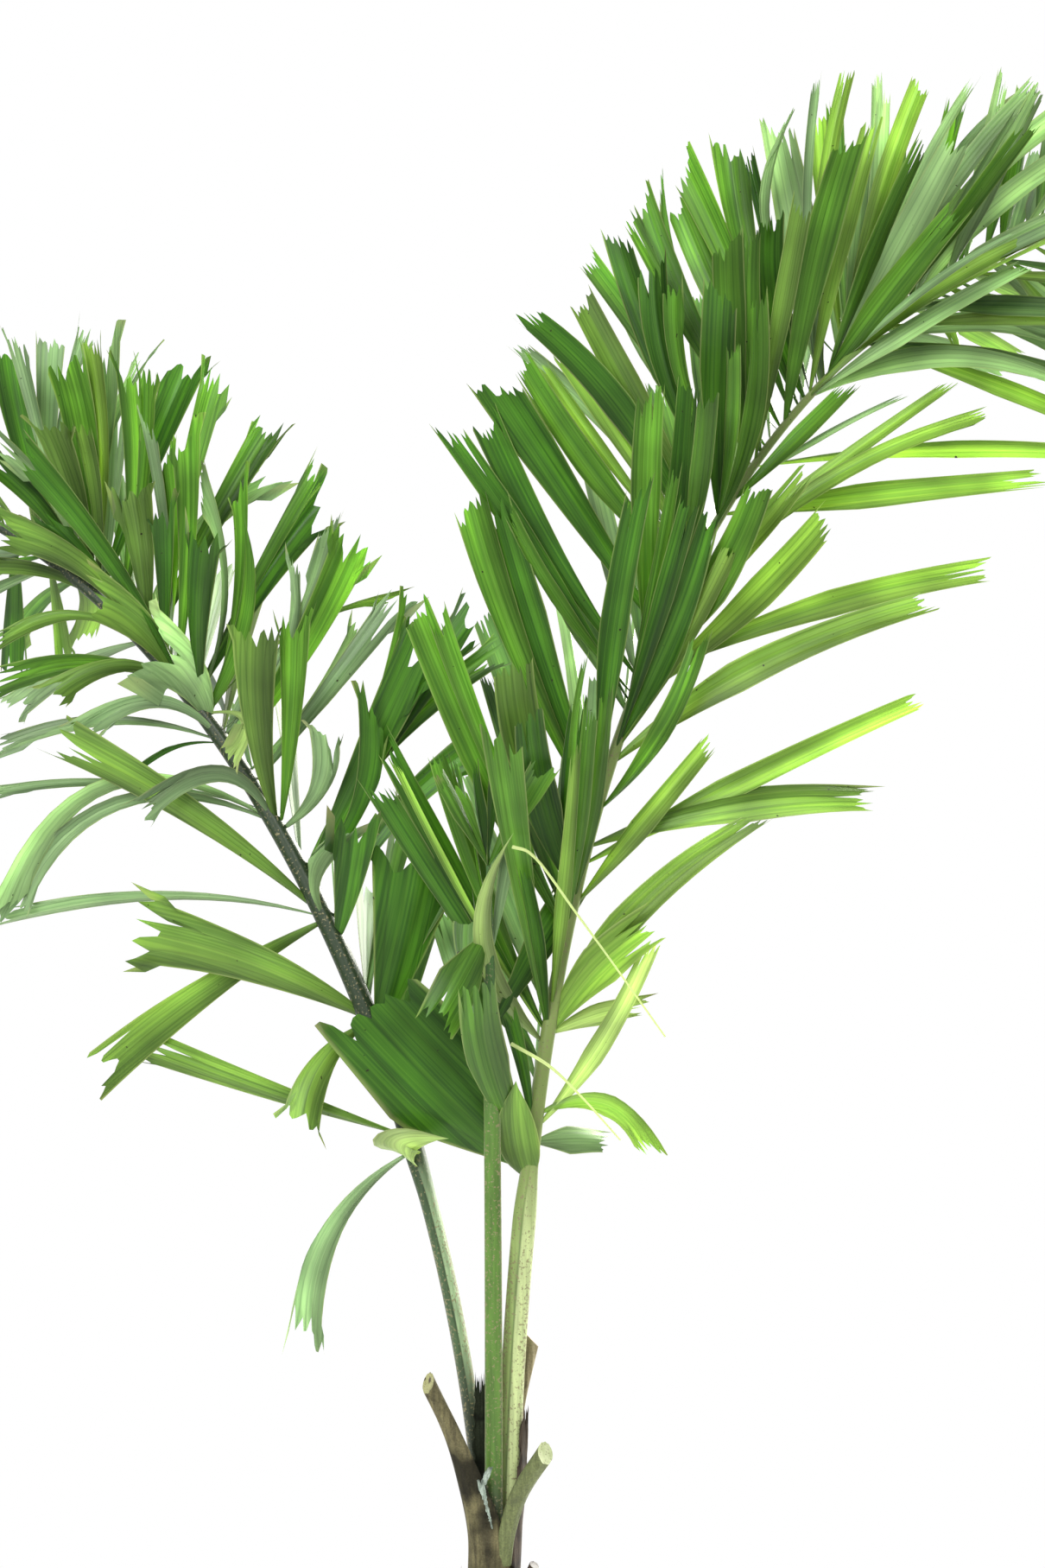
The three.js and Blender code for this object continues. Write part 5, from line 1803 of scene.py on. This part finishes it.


# Leaflets of each frond that can be told apart in the photograph: root, middle and tip in its pixels, the
# width of the end, how far the tip comes towards the viewer in mm, and the tone. The tone follows how
# bright each leaflet looks, so it paints the light and shade on it along with its colour.
RIGHT_SINGLES = [
    Single((603, 1365), (598, 1308), (597, 1250), 52, 75, Tone.OLIVE, form=Form.POINTED),
    Single((600, 1352), (520, 1262), (428, 1165), 158, 22, Tone.DEEP, roll=0),
    Single((638, 1212), (560, 1088), (596, 968), 30, 200, Tone.YOUNG, roll=-14, form=Form.POINTED),
    Single((618, 1320), (608, 1250), (590, 1180), 21, 30, Tone.DEEP),
    Single((640, 1195), (735, 1055), (875, 950), 40, 20, Tone.LIME),
    Single((668, 1055), (735, 965), (818, 865), 34, 50, Tone.LIME),
    Single((690, 1005), (880, 895), (1058, 812), 31, 10, Tone.LIME),
    Single((700, 985), (850, 930), (1003, 920), 52, 40, Tone.OLIVE, roll=30, twist=-30),
    Single((700, 945), (752, 870), (812, 745), 34, 70, Tone.MID, twist=20),
    Single((642, 1198), (690, 1175), (742, 1165), 29, -30, Tone.YOUNG),
    Single((625, 1310), (690, 1215), (752, 1095), 30, 10, Tone.YOUNG),
    Single((622, 1292), (700, 1278), (752, 1330), 29, 20, Tone.LIME),
    Single((620, 1322), (662, 1318), (704, 1320), 38, -60, Tone.PALE),
    Single((722, 890), (880, 770), (1070, 702), 41, 20, Tone.LIME),
    Single((755, 790), (940, 705), (1135, 662), 34, 0, Tone.LIME),
    Single((745, 815), (850, 715), (952, 607), 40, 40, Tone.LIME),
    Single((770, 750), (915, 585), (1135, 480), 22, 50, Tone.LIME),
    Single((800, 690), (960, 545), (1100, 452), 21, 30, Tone.LIME),
    Single((860, 570), (950, 505), (1040, 457), 11, 10, Tone.GLAUCOUS),
    Single((850, 590), (920, 510), (980, 450), 23, 40, Tone.MID),
    Single((845, 600), (1040, 570), (1203, 556), 34, 0, Tone.LIME),
    Single((880, 545), (1050, 520), (1240, 518), 26, -20, Tone.LIME),
    Single((930, 455), (1080, 412), (1225, 440), 33, -10, Tone.PALE),
    Single((985, 400), (1110, 372), (1240, 395), 28, -20, Tone.PALE),
    Single((1020, 370), (1130, 345), (1240, 378), 17, -40, Tone.PALE),
    Single((1075, 350), (1100, 372), (1115, 408), 28, -60, Tone.LIME),
    Single((1030, 375), (1045, 385), (1056, 406), 24, -70, Tone.LIME),
    Single((698, 930), (708, 740), (738, 572), 41, 165, Tone.DEEP),
    Single((725, 850), (755, 690), (777, 552), 22, 120, Tone.MID),
    Single((715, 880), (757, 730), (797, 590), 29, 140, Tone.DEEP),
    Single((725, 870), (775, 740), (822, 600), 43, 110, Tone.DEEP),
    Single((775, 790), (825, 680), (878, 570), 48, 130, Tone.MID),
    Single((800, 720), (870, 620), (930, 550), 38, 110, Tone.LIME),
    Single((730, 880), (790, 745), (845, 640), 26, 90, Tone.LIME),
    Single((655, 930), (600, 750), (546, 588), 45, 60, Tone.MID),
    Single((668, 930), (628, 760), (578, 592), 45, 45, Tone.DEEP),
    Single((690, 800), (612, 630), (524, 505), 34, 85, Tone.DEEP),
    Single((692, 790), (642, 690), (590, 600), 22, 95, Tone.MID),
    Single((698, 770), (640, 640), (567, 496), 36, 40, Tone.DEEP),
    Single((735, 720), (650, 560), (578, 450), 53, 50, Tone.DEEP),
    Single((735, 640), (662, 510), (607, 424), 36, 30, Tone.MID),
    Single((745, 610), (670, 460), (602, 402), 22, -20, Tone.GLAUCOUS),
    Single((800, 640), (700, 450), (612, 364), 38, 45, Tone.DEEP),
    Single((805, 610), (722, 440), (674, 350), 38, 10, Tone.OLIVE),
    Single((790, 640), (712, 495), (655, 408), 31, 20, Tone.LIME),
    Single((775, 640), (690, 510), (632, 425), 19, 0, Tone.LIME),
    Single((845, 560), (742, 385), (684, 304), 26, 0, Tone.MID),
    Single((840, 560), (750, 380), (716, 278), 40, 20, Tone.DEEP),
    Single((830, 520), (745, 400), (708, 320), 26, -40, Tone.PALE),
    Single((835, 570), (767, 410), (757, 312), 43, 45, Tone.DEEP),
    Single((840, 560), (785, 420), (779, 334), 24, 65, Tone.MID),
    Single((850, 500), (772, 330), (731, 256), 26, -10, Tone.MID),
    Single((850, 490), (777, 320), (746, 236), 31, 0, Tone.MID),
    Single((840, 450), (777, 300), (764, 214), 12, 10, Tone.MID),
    Single((870, 470), (815, 310), (786, 240), 33, -30, Tone.MID),
    Single((890, 460), (830, 270), (794, 192), 38, 0, Tone.MID),
    Single((900, 450), (858, 270), (843, 175), 41, 10, Tone.MID),
    Single((910, 430), (887, 270), (865, 186), 21, 0, Tone.DEEP),
    Single((850, 540), (848, 400), (842, 284), 40, 90, Tone.MID),
    Single((870, 520), (868, 390), (868, 273), 31, 100, Tone.MID),
    Single((830, 600), (830, 450), (836, 340), 45, 150, Tone.DEEP),
    Single((845, 640), (868, 490), (872, 350), 34, 110, Tone.MID),
    Single((780, 700), (790, 560), (800, 450), 40, 130, Tone.DEEP),
    Single((740, 760), (747, 590), (750, 455), 40, 140, Tone.MID),
    Single((800, 690), (808, 570), (818, 462), 29, 150, Tone.MID),
    Single((850, 620), (845, 520), (850, 405), 19, 160, Tone.MID),
    Single((895, 430), (893, 320), (893, 254), 36, 60, Tone.DEEP),
    Single((875, 540), (900, 390), (928, 243), 27, 130, Tone.OLIVE),
    Single((935, 430), (926, 280), (901, 152), 52, 20, Tone.PALE),
    Single((890, 330), (886, 220), (911, 140), 12, 110, Tone.PALE),
    Single((915, 420), (934, 250), (943, 99), 12, 60, Tone.GLAUCOUS),
    Single((960, 400), (957, 250), (950, 134), 29, -40, Tone.LIME),
    Single((970, 400), (972, 250), (966, 128), 22, -60, Tone.MID),
    Single((935, 420), (953, 230), (978, 88), 22, 50, Tone.LIME),
    Single((905, 490), (940, 320), (978, 166), 46, 140, Tone.MID),
    Single((925, 450), (972, 290), (1012, 145), 30, 120, Tone.LIME),
    Single((985, 380), (1013, 220), (1016, 94), 22, 0, Tone.PALE),
    Single((965, 410), (1012, 250), (1064, 100), 31, 70, Tone.LIME),
    Single((985, 390), (1050, 230), (1120, 94), 24, 60, Tone.PALE),
    Single((960, 430), (1040, 290), (1106, 168), 42, 120, Tone.PALE),
    Single((950, 440), (1025, 345), (1103, 247), 44, 150, Tone.MID),
    Single((1000, 380), (1090, 230), (1195, 104), 24, 40, Tone.PALE),
    Single((1060, 310), (1108, 180), (1176, 113), 14, -20, Tone.GLAUCOUS),
    Single((1020, 370), (1118, 230), (1230, 132), 29, 20, Tone.PALE),
    Single((1050, 350), (1140, 250), (1240, 178), 29, 10, Tone.PALE),
    Single((1060, 350), (1150, 285), (1245, 240), 22, 40, Tone.PALE),
    Single((1010, 390), (1060, 290), (1100, 200), 28, 20, Tone.PALE),
    Single((925, 460), (1060, 352), (1215, 272), 24, 90, Tone.LIME),
    Single((930, 455), (1058, 378), (1180, 310), 26, 120, Tone.PALE),
    Single((640, 1010), (615, 890), (592, 772), 56, 150, Tone.OLIVE, form=Form.BLUNT),
    Single((650, 1030), (628, 930), (612, 830), 48, 130, Tone.DEEP),
    Single((637, 1195), (603, 1010), (577, 850), 44, 190, Tone.MID),
    Single((637, 1195), (625, 1100), (610, 1010), 22, 110, Tone.DEEP),
    Single((655, 1080), (672, 940), (683, 826), 24, 170, Tone.MID),
    Single((668, 1050), (690, 920), (702, 802), 21, 150, Tone.MID),
    Single((650, 1000), (662, 880), (677, 766), 12, 180, Tone.MID),
    Single((650, 1060), (655, 930), (664, 820), 29, 120, Tone.DEEP),
    Single((645, 1180), (655, 1020), (668, 870), 22, 165, Tone.LIME),
    Single((650, 1080), (560, 890), (484, 712), 45, 100, Tone.MID),
    Single((655, 1075), (572, 890), (510, 725), 26, 110, Tone.MID),
    Single((637, 1197), (556, 1020), (508, 877), 31, 75, Tone.MID),
    Single((637, 1197), (526, 1010), (452, 868), 33, 60, Tone.DEEP),
    Single((630, 1215), (510, 1030), (438, 916), 33, 45, Tone.DEEP),
    Single((637, 1200), (535, 1035), (463, 886), 11, 78, Tone.LIME),
    Single((600, 1345), (568, 1242), (554, 1148), 58, 200, Tone.MID, form=Form.BLUNT),
    Single((640, 1200), (690, 1122), (752, 1072), 56, 30, Tone.LIME),
]
LEFT_SINGLES = [
    Single((455, 1340), (385, 1424), (357, 1548), 44, 10, Tone.GLAUCOUS, twist=12),
    Single((450, 1325), (320, 1266), (172, 1212), 46, 5, Tone.OLIVE),
    Single((405, 1192), (378, 1225), (352, 1298), 56, 75, Tone.OLIVE, roll=-11, twist=20, form=Form.BLUNT),
    Single((400, 1190), (300, 1118), (165, 1078), 88, 60, Tone.OLIVE),
    Single((365, 1070), (240, 1145), (120, 1236), 50, 35, Tone.OLIVE),
    Single((365, 1068), (210, 1038), (-5, 1072), 26, -20, Tone.GLAUCOUS),
    Single((362, 1068), (218, 940), (72, 860), 52, 40, Tone.OLIVE),
    Single((320, 955), (262, 896), (168, 934), 38, 85, Tone.GLAUCOUS),
    Single((315, 955), (140, 928), (5, 1062), 32, 10, Tone.GLAUCOUS),
    Single((318, 950), (115, 912), (8, 1045), 34, 25, Tone.PALE),
    Single((258, 860), (150, 834), (-5, 866), 22, -20, Tone.GLAUCOUS),
    Single((258, 858), (190, 812), (98, 842), 30, 55, Tone.GLAUCOUS),
    Single((258, 862), (205, 864), (160, 891), 8, 20, Tone.DEEP),
    Single((300, 945), (130, 905), (-10, 915), 16, -30, Tone.GLAUCOUS),
    Single((255, 810), (284, 834), (268, 878), 20, 70, Tone.YOUNG),
    Single((266, 822), (219, 785), (172, 748), 88, 60, Tone.PALE),
    Single((222, 772), (165, 728), (108, 690), 58, 50, Tone.OLIVE),
    Single((225, 790), (128, 652), (30, 532), 38, 105, Tone.DEEP),
    Single((110, 640), (45, 500), (20, 395), 21, 40, Tone.GLAUCOUS),
    Single((175, 740), (90, 652), (2, 614), 46, 60, Tone.OLIVE),
    Single((170, 720), (90, 640), (50, 602), 30, 50, Tone.DEEP),
    Single((100, 640), (30, 530), (5, 412), 52, 30, Tone.DEEP),
    Single((130, 660), (50, 590), (-15, 530), 34, 40, Tone.DEEP),
    Single((90, 600), (55, 490), (60, 398), 34, -30, Tone.GLAUCOUS),
    Single((100, 600), (72, 480), (97, 384), 19, -40, Tone.GLAUCOUS),
    Single((125, 640), (95, 510), (76, 422), 57, 60, Tone.MID),
    Single((150, 640), (118, 500), (104, 400), 26, 75, Tone.LIME),
    Single((140, 610), (125, 480), (131, 396), 34, 20, Tone.PALE),
    Single((130, 600), (135, 470), (163, 408), 21, 10, Tone.PALE),
    Single((135, 660), (85, 570), (56, 495), 43, 90, Tone.OLIVE, form=Form.BLUNT),
    Single((140, 660), (110, 570), (96, 495), 29, 80, Tone.OLIVE, form=Form.BLUNT),
    Single((165, 690), (154, 550), (148, 428), 28, 60, Tone.MID),
    Single((165, 690), (166, 550), (170, 432), 22, 68, Tone.MID),
    Single((165, 640), (182, 505), (216, 424), 52, -10, Tone.DEEP),
    Single((150, 660), (130, 560), (135, 470), 34, -30, Tone.GLAUCOUS),
    Single((225, 720), (220, 540), (245, 440), 40, 20, Tone.MID),
    Single((225, 770), (217, 620), (215, 503), 34, 105, Tone.MID),
    Single((205, 760), (200, 620), (193, 527), 24, 75, Tone.MID),
    Single((210, 770), (189, 600), (172, 492), 19, 95, Tone.GLAUCOUS),
    Single((180, 740), (162, 645), (150, 574), 55, 125, Tone.OLIVE, form=Form.BLUNT),
    Single((200, 760), (190, 660), (188, 590), 31, 90, Tone.DEEP),
    Single((222, 830), (226, 730), (230, 628), 54, 145, Tone.DEEP, form=Form.BLUNT),
    Single((275, 780), (258, 650), (232, 563), 17, 60, Tone.PALE),
    Single((290, 800), (278, 660), (277, 562), 20, 70, Tone.MID),
    Single((275, 800), (287, 690), (282, 596), 23, 115, Tone.MID, form=Form.POINTED),
    Single((318, 962), (300, 850), (297, 734), 60, 135, Tone.OLIVE, form=Form.BLUNT),
    Single((322, 962), (336, 840), (340, 722), 42, 120, Tone.MID),
    Single((322, 962), (372, 906), (374, 848), 40, 100, Tone.GLAUCOUS, twist=40),
    Single((365, 1080), (362, 1018), (404, 960), 38, 60, Tone.PALE, twist=-30),
    Single((380, 1095), (402, 1030), (412, 952), 60, 70, Tone.DEEP),
    Single((365, 1015), (430, 865), (482, 752), 64, 60, Tone.DEEP),
    Single((380, 1005), (412, 940), (428, 812), 36, 75, Tone.DEEP),
    Single((380, 1000), (465, 830), (543, 716), 42, 30, Tone.DEEP),
    Single((375, 1000), (478, 832), (576, 756), 34, 10, Tone.MID),
    Single((375, 1080), (470, 930), (553, 864), 42, -20, Tone.DEEP),
    Single((385, 1000), (432, 850), (472, 706), 26, 45, Tone.MID),
    Single((255, 790), (308, 665), (374, 572), 53, 20, Tone.DEEP),
    Single((255, 790), (312, 640), (366, 546), 21, 30, Tone.MID),
    Single((230, 700), (268, 565), (310, 495), 40, -20, Tone.MID),
    Single((220, 680), (255, 592), (312, 553), 38, -60, Tone.PALE),
    Single((330, 830), (368, 715), (406, 628), 52, 40, Tone.MID),
    Single((335, 800), (357, 690), (382, 610), 14, 20, Tone.GLAUCOUS),
    Single((320, 800), (340, 720), (338, 652), 16, 30, Tone.GLAUCOUS),
    Single((340, 880), (400, 772), (460, 694), 38, -10, Tone.GLAUCOUS),
    Single((330, 760), (400, 703), (460, 689), 9, -50, Tone.OLIVE),
    Single((340, 860), (385, 790), (420, 730), 40, -50, Tone.PALE),
    Single((275, 850), (290, 800), (335, 760), 36, -60, Tone.GLAUCOUS),
    Single((30, 600), (16, 680), (12, 775), 36, -150, Tone.DEEP),
    Single((60, 640), (66, 700), (75, 768), 24, -160, Tone.OLIVE),
    Single((90, 640), (102, 690), (92, 738), 34, -170, Tone.LIME),
    Single((215, 790), (110, 768), (0, 792), 36, 30, Tone.MID),
    Single((200, 790), (150, 770), (65, 802), 34, 60, Tone.OLIVE),
    Single((175, 730), (90, 712), (-5, 746), 24, 20, Tone.OLIVE),
    Single((130, 690), (60, 664), (-12, 656), 24, -20, Tone.OLIVE),
    Single((130, 650), (60, 575), (-2, 512), 24, 85, Tone.PALE),
    Single((425, 1205), (462, 1102), (484, 998), 112, 25, Tone.DEEP, roll=0, form=Form.BLUNT),
    Single((425, 1190), (480, 1085), (520, 1010), 42, 0, Tone.MID),
    Single((480, 1353), (460, 1326), (520, 1316), 62, 45, Tone.YOUNG, twist=30, form=Form.POINTED),
]
CENTRE_SINGLES = [
    Single((566, 1076), (546, 1118), (512, 1180), 68, 70, Tone.MID),
    Single((566, 1180), (545, 1110), (552, 1040), 44, -60, Tone.MID),
]

FRONDS = [
    Frond(
        name="right", seed=11, foot=(23, 9), heading=14, length=2440, lean=Lean(0.5, 22, 71, 3),
        stalk=536, bend=1440, first=600, clusters=22, crowd=0.22, reach=520, width=50, ranks=5,
        fan=(14, 162), spread=(38, 50), droop=0.2, bare=0.62, seen=1760, flare=-0.22,
        stalk_width=(28, 25), stalk_depth=(33, 33),
        tones={Tone.MID: 0.45, Tone.LIME: 0.15, Tone.PALE: 0.4},
        sunny={Tone.LIME: 0.62, Tone.MID: 0.2, Tone.PALE: 0.18},
        singles=RIGHT_SINGLES,
    ),
    Frond(
        name="left", seed=23, foot=(-5, 17), heading=166, length=2080, lean=Lean(2.5, 51, 46.5, 5.2),
        stalk=566, bend=1330, first=690, clusters=15, crowd=0.22, reach=440, width=56, ranks=5,
        fan=(14, 162), spread=(40, 52), droop=0.36, bare=0.5, seen=1620, flare=0.3,
        stalk_width=(28, 31), stalk_depth=(21, 23), taper=1.8, foot_brown_and_shade=(230, 340),
        tones={Tone.DEEP: 0.3, Tone.MID: 0.42, Tone.OLIVE: 0.1, Tone.GLAUCOUS: 0.18},
        sunny={Tone.GLAUCOUS: 0.45, Tone.OLIVE: 0.3, Tone.MID: 0.25},
        singles=LEFT_SINGLES,
    ),
    Frond(
        name="centre", seed=37, foot=(6, -15), heading=-98, length=1000, lean=Lean(0, 3, 6, 3),
        stalk=720, bend=1000, first=780, clusters=3, crowd=0, reach=330, width=56, ranks=3,
        fan=(30, 150), spread=(32, 18), droop=0.1, bare=0, seen=1000, flare=-0.1,
        stalk_width=(25, 22), stalk_depth=(16, 17), foot_brown_and_shade=(110, 175),
        tones={Tone.DEEP: 0.5, Tone.MID: 0.4, Tone.GLAUCOUS: 0.1},
        sunny={Tone.MID: 1.0},
        singles=CENTRE_SINGLES,
    ),
]

LEAF_BASES = [
    LeafBase(
        name="left_stub",
        path=[(0, -31, 400.3), (-8, -33, 474), (-31, -37, 556), (-53, -42, 618), (-84, -50, 686)],
        facing=(270, 215), half_width=(41, 13), power=2.2, depth=(7, 20), wrap=(31, 44),
        finish=OLD_BASE, cut=OLD_CUT, slope=(1.1, 0.0), smear=1.0,
    ),
    LeafBase(
        name="right_stub",
        path=[(19, -26, 430), (25, -31, 476), (42, -37, 532), (77, -46, 589)],
        facing=(285, 315), half_width=(12, 15), power=1, depth=(8, 22), wrap=(30, 40),
        finish=GREEN_BASE, cut=FRESH_CUT, slope=(1.0, 0.0),
    ),
    LeafBase(
        name="rear_stub",
        path=[(20, 29, 400.3), (25, 33, 520), (37, 36, 640), (57, 40, 732)],
        facing=(70, 55), half_width=(12, 15), power=1, depth=(7, 16), wrap=(36, 40),
        finish=REAR_BASE, cut=RED_CUT, slope=(0.4, -0.5),
    ),
    LeafBase(
        name="low_stub",
        path=[(34, -14, 362), (48, -19, 398), (62, -24, 430)],
        facing=(330, 335), half_width=(13, 10), power=1, depth=(9, 13), wrap=(42, 50),
        finish=DRY_FIBRE, cut=DARK_CUT, slope=(0.3, 0.0),
    ),
]

SHEETS = [
    TornSheet(
        name="sheath_collar", foot=(0, 43.5, 346), top=(0, 44, 410), facing=(90, 90), half_width=(136, 136),
        wrap=43.5, fray=6, finish=COLLAR, seed=17, slot="dry_sheath", columns=90,
    ),
    TornSheet(
        name="dry_sheath_fibres", foot=(39, -4, 396), top=(50, 4, 622), facing=(345, 330), half_width=(22, 9),
        wrap=40, fray=14, finish=DRY_FIBRE, seed=5, slot="dry_sheath", nodes=("dry_sheath",),
    ),
    # The inner sheath stands partly for the shade between the stalks, painted nearly black.
    TornSheet(
        name="inner_sheath", foot=(-13, 0, 396), top=(-12, -4, 680), facing=(262, 268), half_width=(13, 8),
        wrap=60, fray=10, finish=INNER_SHEATH, seed=8, slot="dry_sheath",
    ),
    TornSheet(
        name="margin_membrane", foot=(4, -42, 484), top=(-11, -46, 548), facing=(292, 300),
        half_width=(0.8, 4.5), wrap=8, fray=4, finish=MEMBRANE, seed=3, slot="old_leaf_base",
    ),
    TornSheet(
        name="curled_margin_flap", foot=(-9, -43, 546), top=(2, -46, 568), facing=(250, 320),
        half_width=(4, 5), wrap=6, fray=2, finish=MEMBRANE, seed=12, slot="old_leaf_base",
    ),
]

THREADS = [
    Thread("upper_leaf_thread", [(32, -113, 1424), (55, -118, 1416), (120, -112, 1332), (240, -90, 1165)]),
    Thread("lower_leaf_thread", [(30, -46, 1152), (83, -62, 1122), (122, -62, 1085), (180, -50, 1020)]),
]


def main() -> None:
    """Loads the frame, builds the plant's pieces in order and sets up the studio."""
    logging.basicConfig(level=logging.INFO, format="%(name)s %(message)s")
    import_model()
    Studio().build()
    materials = {tone: [finish.material() for finish in pair] for tone, pair in LEAF_FINISHES.items()}
    Stem().build()
    for base in LEAF_BASES:
        base.build()
    for torn in SHEETS:
        torn.build()
    for frond in FRONDS:
        frond.build(materials)
    margin = ThreadFinish().material()
    for thread in THREADS:
        thread.build(margin)
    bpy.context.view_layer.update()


if __name__ == "__main__":
    main()
